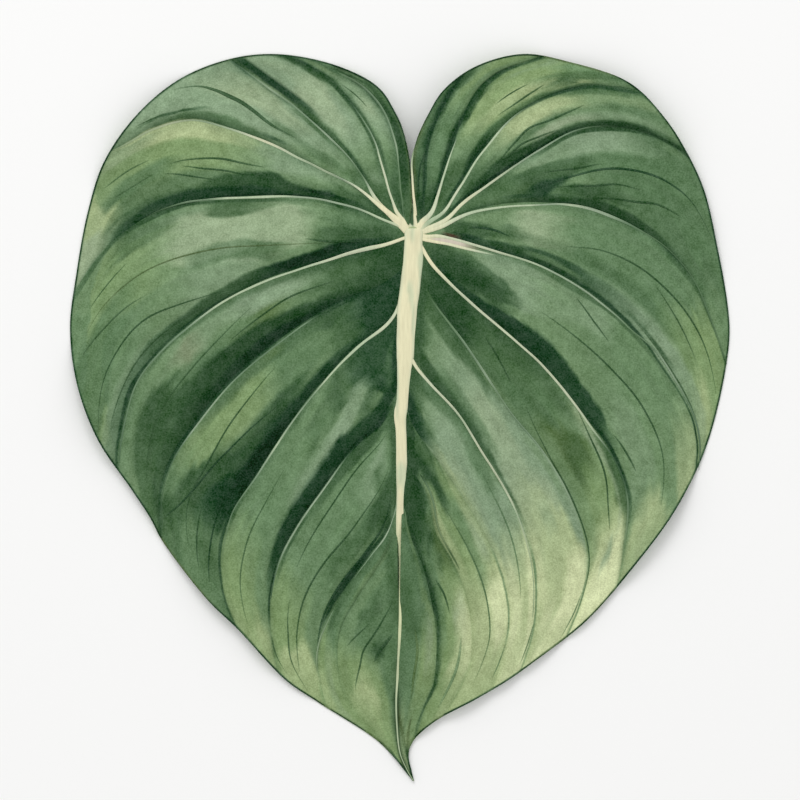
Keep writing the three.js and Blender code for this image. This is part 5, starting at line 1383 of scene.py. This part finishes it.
RIGHT_CORDS = [
    (0, [(0, .75, .1, "cream", 1), (.06, .7, 0, "cream", 1), (.15, .6, -.4, "cream", 1),
     (.28, .5, -.5, "ivory", 1), (.4, .4, -.1, "pale", .8), (.48, .3, .2, "pale", 0)]),
    (1, [(0, .5, 0, "cream", 1), (.05, .4, -.5, "bone", .6), (.1, .3, -.5, "dim", 0)]),
    (2, [(0, 2, 0, "cream", 1), (.04, 1.6, .3, "cream", 1), (.08, 1.3, .7, "bone", 1),
     (.11, 1.1, .7, "bone", 1), (.15, .85, .8, "bone", 1), (.2, .65, .9, "bone", 1),
     (.25, .55, 1.1, "pale", 1), (.3, .55, 1.4, "pale", 1), (.36, .5, 1.5, "pale", 1),
     (.42, .5, 1.6, "dusk", .9), (.5, .42, 1.7, "dim", .6), (.6, .3, 1.7, "faint", 0)]),
    (3, [(0, 1.2, .3, "cream", 1), (.05, 1.2, .6, "pale", .8), (.1, .9, 1, "pale", .9),
     (.13, .75, .8, "bone", 1), (.16, .65, .5, "bone", 1), (.2, .62, .5, "bone", 1),
     (.25, .55, .9, "pale", 1), (.3, .5, 1.3, "pale", 1), (.35, .5, 1.5, "pale", 1),
     (.4, .5, 1.5, "pale", 1), (.45, .55, 1, "pale", 1), (.5, .45, .4, "dusk", .8),
     (.54, .4, .2, "dusk", .4), (.6, .4, .2, "dusk", 0)]),
    (4, [(0, 1.5, .6, "cream", 1), (.06, 1.4, 1.1, "ivory", 1), (.1, 1.1, 1.1, "ivory", 1),
     (.13, .9, .8, "ivory", 1), (.16, .85, .3, "ivory", 1), (.2, .8, 0, "ivory", 1),
     (.25, .62, .1, "bone", 1), (.3, .6, 0, "bone", 1), (.35, .5, -.1, "pale", 1),
     (.4, .45, -.1, "dusk", 1), (.45, .42, -.1, "dusk", 1), (.5, .45, 0, "dusk", 1),
     (.55, .4, .1, "dim", .9), (.6, .36, .1, "dim", .7), (.66, .3, -.2, "faint", .3),
     (.75, .3, -.5, "faint", 0)]),
    (5, [(0, 1.3, .8, "cream", 1), (.06, 1.2, 1.2, "ivory", 1), (.1, 1, .9, "bone", 1),
     (.15, .75, 1.1, "pale", 1), (.2, .6, 1.5, "pale", 1), (.25, .5, 1.6, "pale", 1),
     (.3, .46, 1.5, "pale", 1), (.33, .4, 1.1, "dusk", .9), (.36, .5, .4, "dusk", .9),
     (.4, .6, .1, "pale", 1), (.46, .7, .1, "dusk", 1), (.5, .8, .3, "dusk", .9),
     (.55, .55, .1, "dim", .7), (.6, .4, 0, "faint", .5), (.66, .35, -.6, "jade", .5),
     (.75, .35, -.8, "jade", .4), (.85, .35, -.4, "dim", .3), (1, .3, -.3, "dim", .2)]),
    (6, [(0, 1.2, .3, "cream", 1), (.02, 1.2, .4, "cream", 1), (.05, 1, -1.6, "ivory", 1),
     (.08, .75, -2.2, "bone", 1), (.115, .7, -2.1, "bone", 1), (.15, .66, -1.5, "bone", 1),
     (.2, .62, -.7, "bone", 1), (.25, .52, -.4, "pale", 1), (.3, .48, -.1, "pale", 1),
     (.35, .46, .1, "dusk", 1), (.4, .48, -.1, "dusk", 1), (.46, .46, -.3, "dusk", 1),
     (.5, .45, -.1, "dusk", 1), (.55, .4, 0, "dim", .8), (.6, .36, .2, "faint", .5),
     (.66, .4, -1.6, "dim", .5), (.7, .5, -2.1, "dusk", .8), (.76, .46, -1.6, "dusk", .8),
     (.82, .4, -1.3, "dim", .6), (.9, .4, -1.4, "dusk", .5), (1, .3, -1.2, "dim", .4)]),
    (6, [(0, .8, 1.8, "cream", 1), (.02, .9, 1.9, "cream", 1), (.05, .8, 1.4, "cream", 1),
     (.08, .75, .8, "ivory", 1), (.115, .7, .9, "ivory", 1), (.15, .62, 1.1, "bone", 1),
     (.18, .5, 1.2, "pale", .9), (.22, .3, 1.2, "pale", 0)]),
    (6, [(0, 1.6, 1, "cream", 1), (.02, 1.5, 1, "cream", 1), (.05, 1.9, -.2, "rose", 1),
     (.08, 1.5, -.7, "rose", 1), (.115, 1.2, -.6, "rose", 1), (.15, .7, -.1, "clay", .8),
     (.18, .3, .1, "clay", 0)], .2),
    (7, [(0, 1, .2, "cream", 1), (.06, .95, -.1, "cream", 1), (.1, .85, -.5, "ivory", 1),
     (.15, .68, -.4, "bone", 1), (.2, .68, -.3, "bone", 1), (.25, .62, 0, "bone", 1),
     (.3, .62, .3, "bone", 1), (.35, .55, .1, "bone", 1), (.4, .58, -.4, "bone", 1),
     (.45, .6, -.3, "bone", 1), (.5, .6, -.1, "bone", 1), (.55, .55, .1, "bone", .9),
     (.6, .55, .6, "pale", .9), (.64, .45, .9, "dusk", .7), (.68, .4, 1, "faint", .4),
     (.74, .4, .3, "faint", .3), (.8, .46, 0, "dim", .6), (.86, .4, -.2, "dim", .4),
     (.92, .3, 0, "faint", 0)]),
    (8, [(.06, .3, .8, "mid", 0), (.1, .5, .6, "faint", .7), (.15, .55, 0, "faint", .9),
     (.2, .6, -.5, "dim", .9), (.25, .55, -.4, "dim", .9), (.3, .6, -.2, "dusk", .9),
     (.35, .5, -.3, "dim", .6), (.4, .45, -.4, "dim", .4), (.5, .45, -.3, "dim", .5),
     (.6, .45, 0, "dusk", .4), (.7, .4, .2, "dusk", .2), (.76, .3, 0, "faint", 0)]),
    (9, [(0, 1, 1.4, "cream", 1), (.06, .85, 1.4, "ivory", 1), (.1, .75, .5, "bone", 1),
     (.15, .62, -.1, "bone", 1), (.2, .6, -.4, "bone", 1), (.25, .52, -.4, "pale", 1),
     (.3, .55, -.2, "bone", 1), (.35, .55, -.2, "bone", 1), (.4, .55, -.5, "bone", 1),
     (.45, .52, -.4, "bone", .9), (.5, .55, .1, "bone", .9), (.55, .46, .6, "pale", .8),
     (.6, .42, .9, "bone", .6), (.7, .4, 1.1, "bone", .4), (.8, .4, 1.2, "pale", .3),
     (.88, .3, 1.2, "pale", 0)]),
    (10, [(0, .3, 0, "pale", .8), (.05, .3, 0, "dim", 0)]),
    (11, [(.08, .3, -2.4, "faint", 0), (.12, .46, -2.4, "faint", .6), (.17, .46, -1.8, "faint", .7),
     (.25, .46, -1, "faint", .4), (.35, .4, -1.2, "faint", .2), (.45, .4, -1.6, "faint", 0)]),
    (12, [(0, .4, -.6, "mid", .6), (.04, .4, -.6, "jade", .8), (.08, .3, 0, "jade", .4),
     (.14, .3, 0, "mid", 0)]),
]


def main_veins(half, cords, name, material):
    """All the main veins of one half as one piece."""
    points, faces, colours = joined([vein_cord(half, *cord) for cord in cords])
    return mesh_piece(name, points, faces, colours, material)


def fine_veins(half, name, material):
    """All the fine veins of one half, darkened with painted groove shade, as one piece."""
    points, faces, colours = joined([fine_line(half, *line) for line in half.lines])
    return mesh_piece(name, points, faces, colours, material)


def margin(half, name, material):
    """The thin dark cord along the margin, just inside the outline, at the blade's own height."""
    steps, sides = 900, 8
    shares, heights = [], []
    for k in range(half.sectors):
        t = np.linspace(0, 1, 41)
        _, top, bottom, _, _ = half.surface(k, t, 1.0)
        shares.append(half.outer_share[k] * (1 - t) + half.outer_share[k + 1] * t)
        heights.append((top + bottom) / 2)
    t = np.linspace(0, 1, 41)
    _, top, bottom, _, _ = half.surface(0, 0.0, t)
    shares.insert(0, t * half.outer_share[0])
    heights.insert(0, (top + bottom) / 2)
    share = np.linspace(0.0005, 0.9995, steps)
    middle = np.interp(share, np.concatenate(shares), np.concatenate(heights))
    line = half.outline(share)
    run = half.outline(share + 0.0004) - half.outline(share - 0.0004)
    run /= np.linalg.norm(run, axis=1)[:, None]
    inward = np.stack([run[:, 1], -run[:, 0]], 1) * half.side
    angle = 2 * np.pi * (np.arange(sides) + 0.5) / sides
    centre = line + inward * MARGIN_CORD_RADIUS
    aside = MARGIN_CORD_RADIUS * np.cos(angle)
    above = MARGIN_CORD_HALF_HEIGHT * np.sin(angle)
    ring = np.zeros((steps, sides, 3))
    ring[..., :2] = centre[:, None] + inward[:, None] * aside[None, :, None]
    ring[..., 2] = np.maximum(middle[:, None] + above[None, :], 0)
    points, faces = tube(ring)
    colour = np.broadcast_to(TINTS["pine"], points.shape)
    return mesh_piece(name, points, faces, colour, material)


def midrib(material):
    """The midrib: a low rounded crown over the blade and a deeper keel under it.

    At each place along its line the section runs round by the angle a: half its width times
    cos(a) to the power 0.8 across, crown times the root of sin(a) up, or keel times sin(a) down.
    It is wide enough to bridge the two halves of the blade. Past its pale crown, and in the notch
    over the joint, it takes the blade's green.
    """
    steps, sides = 420, 28
    line = curve_through([(x, y) for y, x in MIDRIB_CROWN_X])
    centre = line(np.linspace(0, 1, steps))
    spine = curve_through([(0.2, 10), SINUS_BASE, *MIDRIB_LINE, TIP])(np.linspace(0, 1, 2000))
    gap_middle = np.interp(-centre[:, 1], -spine[:, 1], spine[:, 0])
    blade_half = eased(MIDRIB_HALF_WIDTH, centre[:, 1])
    crown_half = eased(MIDRIB_CROWN_HALF_WIDTH, centre[:, 1])
    bridge = np.abs(centre[:, 0] - gap_middle) + INNER_SHARE * blade_half + 0.2
    half = np.maximum(crown_half + 0.2, bridge)
    middle = eased(MIDRIB_ARCH, centre[:, 1])
    keel = 0.5 + (MIDRIB_KEEL_DEPTH - 0.5) * np.minimum(1, half / 4.6)
    crown = BLADE_THICKNESS / 2 + 0.08 * crown_half + VEIN_CROWN
    crown = crown * (1 - 0.35 * smooth(0.5, 3, centre[:, 1]))
    angle = 2 * np.pi * (np.arange(sides) + 0.5) / sides
    up = np.sin(angle)
    across = half[:, None] * np.sign(np.cos(angle)) * np.abs(np.cos(angle)) ** 0.8
    ring = np.zeros((steps, sides, 3))
    ring[..., 0] = centre[:, 0:1] + across
    ring[..., 1] = centre[:, 1:2]
    rise = np.where(up > 0, crown[:, None] * np.abs(up) ** 0.5, keel[:, None] * up)
    ring[..., 2] = np.maximum(middle[:, None] + rise, 0)
    points, faces = tube(ring)
    faces = [f[:, ::-1] for f in faces]
    x, y = points[:, 0], points[:, 1]
    inside = (np.abs(across) / crown_half[:, None]).reshape(-1)
    # Over the joint a pale stem goes on, with the blade's green on both sides of it.
    stem_half = np.interp(centre[:, 1], (0, 14), (0.9, 0.4))[:, None]
    stem = (np.abs(across) / stem_half).reshape(-1)
    notch = smooth(0, 0.7, y - 1.9 - 0.75 * np.abs(x - 0.8)) * smooth(0.85, 1.1, stem)
    rim = smooth(0.92, 1.12, inside) * (0.4 + 0.6 * smooth(-140, -155, y)) * smooth(1.5, 0.5, y)
    colour = np.broadcast_to(TINTS["cream"], points.shape)
    for name, share in (
        ("bone", 0.5 * smooth(0.6, 0.95, inside)),
        ("pale", 0.6 * smooth(0.1, 0.7, drift(x * 3, y * 0.4, 6, 31))),
        ("straw", 0.7 * smooth(-140, -160, y)),
        ("dusk", 0.6 * smooth(-190, -250, y)),
        ("moss", rim),
        ("forest", notch),
    ):
        colour = mixed(colour, TINTS[name], share)
    return mesh_piece("midrib", points, faces, colour, material)


def petiole_stub(material):
    """What is left of the petiole: a short stalk under the joint, cut square, pale at the cut.

    Its axis runs down and towards the lobes. It swells where it meets the blade.
    """
    steps, sides = 24, 28
    share = np.linspace(0, 1, steps)
    axis = np.array([0, STUB_LEAN, -np.sqrt(1 - STUB_LEAN**2)])
    upright = np.cross(axis, [1.0, 0, 0])
    root = np.array([0, -1, float(eased(MIDRIB_ARCH, 0)) - 1.2])
    radius = STUB_RADIUS * np.interp(share, [0, 0.35, 0.97, 1], [1.12, 1.02, 0.94, 0.88])
    angle = 2 * np.pi * np.arange(sides) / sides
    ring = root + (share * STUB_LENGTH)[:, None, None] * axis
    ring = ring + radius[:, None, None] * (np.cos(angle)[:, None] * np.array([1.0, 0, 0])
                                           + np.sin(angle)[:, None] * upright)
    points, faces = tube(ring)
    colour = np.broadcast_to(TINTS["butter"], points.shape)
    return mesh_piece("petiole_stub", points, faces, colour, material)


# Materials

def leaf_cuticle():
    """Waxy leaf cuticle over chlorophyll: nearly matt, softly mottled, with a fine cell grain."""
    material = bpy.data.materials.new("leaf_cuticle")
    material.use_nodes = True
    tree = material.node_tree
    tree.nodes.clear()
    tint = node(tree, "ShaderNodeAttribute", attribute_name="tint")
    place = node(tree, "ShaderNodeTexCoord")
    mottle = node(tree, "ShaderNodeTexNoise", {"Vector": place.outputs["Object"]},
                  values={"Scale": 1 / (MOTTLE_SIZE * MM), "Detail": 6.0, "Roughness": 0.7})
    grain = node(tree, "ShaderNodeTexNoise", {"Vector": place.outputs["Object"]},
                 values={"Scale": 1 / (CELL_GRAIN_SIZE * MM), "Detail": 2.0, "Roughness": 0.5})
    both = node(tree, "ShaderNodeMath", {0: mottle.outputs["Fac"], 1: grain.outputs["Fac"]},
                operation="ADD")
    lift = node(tree, "ShaderNodeMapRange", {"Value": both.outputs[0]},
                values={"From Min": 0.65, "From Max": 1.35, "To Min": 0.76, "To Max": 1.24})
    scaled = node(tree, "ShaderNodeVectorMath", {0: tint.outputs["Color"], "Scale": lift.outputs[0]},
                  operation="SCALE")
    veil = node(tree, "ShaderNodeMath", {0: lift.outputs[0]}, operation="MULTIPLY_ADD",
                values={1: 0.12, 2: -0.12})
    colour = node(tree, "ShaderNodeVectorMath", {0: scaled.outputs[0], 1: veil.outputs[0]},
                  operation="ADD")
    bump = node(tree, "ShaderNodeBump", {"Height": grain.outputs["Fac"]},
                values={"Strength": 0.25, "Distance": 0.0002})
    skin = node(tree, "ShaderNodeBsdfPrincipled",
                {"Base Color": colour.outputs[0], "Normal": bump.outputs[0]},
                values={"Roughness": 0.6, "Specular IOR Level": 0.08})
    node(tree, "ShaderNodeOutputMaterial", {"Surface": skin.outputs[0]})
    return material


def vein_flesh():
    """Firm pale vein tissue: smooth, faintly streaked, a little glossier than the blade."""
    material = bpy.data.materials.new("vein_flesh")
    material.use_nodes = True
    tree = material.node_tree
    tree.nodes.clear()
    tint = node(tree, "ShaderNodeAttribute", attribute_name="tint")
    place = node(tree, "ShaderNodeTexCoord")
    streak = node(tree, "ShaderNodeMapping", {"Vector": place.outputs["Object"]},
                  values={"Scale": (1.0, VEIN_STREAK_STRETCH, 1.0)})
    grain = node(tree, "ShaderNodeTexNoise", {"Vector": streak.outputs[0]},
                 values={"Scale": 1 / (VEIN_STREAK_SIZE * MM), "Detail": 3.0})
    lift = node(tree, "ShaderNodeMapRange", {"Value": grain.outputs["Fac"]},
                values={"From Min": 0.3, "From Max": 0.7, "To Min": 0.92, "To Max": 1.06})
    colour = node(tree, "ShaderNodeVectorMath", {0: tint.outputs["Color"], "Scale": lift.outputs[0]},
                  operation="SCALE")
    skin = node(tree, "ShaderNodeBsdfPrincipled", {"Base Color": colour.outputs[0]},
                values={"Roughness": 0.5, "Specular IOR Level": 0.15})
    node(tree, "ShaderNodeOutputMaterial", {"Surface": skin.outputs[0]})
    return material


# Building the leaf

left = LeafHalf(-1, LEFT_EDGE, LEFT_VEINS, LEFT_SHOULDER, LEFT_MARGIN_WAVE, LEFT_MARKS,
                LEFT_LINES, LEFT_LATE_FOLD_SHADE, LEFT_SHADING_AND_SPOTS)
right = LeafHalf(1, RIGHT_EDGE, RIGHT_VEINS, RIGHT_SHOULDER, RIGHT_MARGIN_WAVE, RIGHT_MARKS,
                 RIGHT_LINES, RIGHT_LATE_FOLD_SHADE, RIGHT_SHADING_AND_SPOTS)
around = np.concatenate([half.outline(np.linspace(0, 1, 6001)) for half in (left, right)])
plan_middle = (around.min(0) + around.max(0)) / 2
FRAME_SHIFT = np.array([-plan_middle[0], -plan_middle[1], 0.0])

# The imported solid's facets cut across the curves, so the finer pieces shrink by under 1 percent
# to stay in its box.
coarse_t, coarse_s = np.linspace(0, 1, 41)[:, None], np.linspace(0, 1, 101)[None, :]
height = max(half.surface(k, coarse_t, coarse_s)[1].max() for half in (left, right)
             for k in range(half.sectors))
own_size = np.array([*(around.max(0) - around.min(0)), height + 0.05]) * MM
FRAME_FIT = np.minimum((np.array(cad_high) - np.array(cad_low)) / own_size, 1)

cuticle = leaf_cuticle()
flesh = vein_flesh()
for half, side_name, cords in ((left, "left", LEFT_CORDS), (right, "right", RIGHT_CORDS)):
    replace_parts(blade(half, f"blade_{side_name}", cuticle), "leaf")
    main_veins(half, cords, f"veins_{side_name}", flesh)
    fine_veins(half, f"fine_veins_{side_name}", cuticle)
    margin(half, f"margin_{side_name}", cuticle)
midrib(flesh)
petiole_stub(flesh)

# Stage, light and camera

FLOOR_REACH = 3.0
floor_mesh = bpy.data.meshes.new("floor")
corners = [(x * FLOOR_REACH, y * FLOOR_REACH, 0) for x, y in ((-1, -1), (1, -1), (1, 1), (-1, 1))]
floor_mesh.from_pydata(corners, [], [(0, 1, 2, 3)])
floor = bpy.data.objects.new("floor", floor_mesh)
bpy.context.scene.collection.objects.link(floor)
# Matt white paper, which shows nothing but the leaf's soft shadow.
paper = bpy.data.materials.new("white_paper_sweep")
paper.use_nodes = True
paper_inputs = paper.node_tree.nodes["Principled BSDF"].inputs
paper_inputs["Base Color"].default_value = (*linear("#fbfbfa"), 1)
paper_inputs["Roughness"].default_value = 0.9
floor_mesh.materials.append(paper)

scene = bpy.context.scene
scene.view_settings.view_transform = "Standard"
world = bpy.data.worlds.new("studio")
world.use_nodes = True
world.node_tree.nodes["Background"].inputs["Color"].default_value = (1, 1, 1, 1)
world.node_tree.nodes["Background"].inputs["Strength"].default_value = 0.76
scene.world = world

lamp = bpy.data.lights.new("window", "AREA")
lamp.shape = "RECTANGLE"
lamp.size = 2.4
lamp.size_y = 1.6
lamp.energy = 46
window = bpy.data.objects.new("window", lamp)
window.location = (-0.7, 2.5, 2.7)
window.rotation_euler = (Vector((0, 0, 0)) - window.location).to_track_quat("-Z", "Y").to_euler()
scene.collection.objects.link(window)

# The camera looks straight down through a long lens, as flat as the photograph, which shows
# 0.5 mm for each pixel.
PHOTO_WIDTH = 0.4
PHOTO_MIDDLE = (0.0001, 0.0087)
LENS, SENSOR = 900.0, 36.0
OUTLINE_HEIGHT = 0.003
camera = bpy.data.cameras.new("camera")
camera.lens = LENS
camera.sensor_width = SENSOR
eye = bpy.data.objects.new("camera", camera)
eye.location = (*PHOTO_MIDDLE, OUTLINE_HEIGHT + PHOTO_WIDTH * LENS / SENSOR)
eye.rotation_euler = (0, 0, 0)
scene.collection.objects.link(eye)
scene.camera = eye
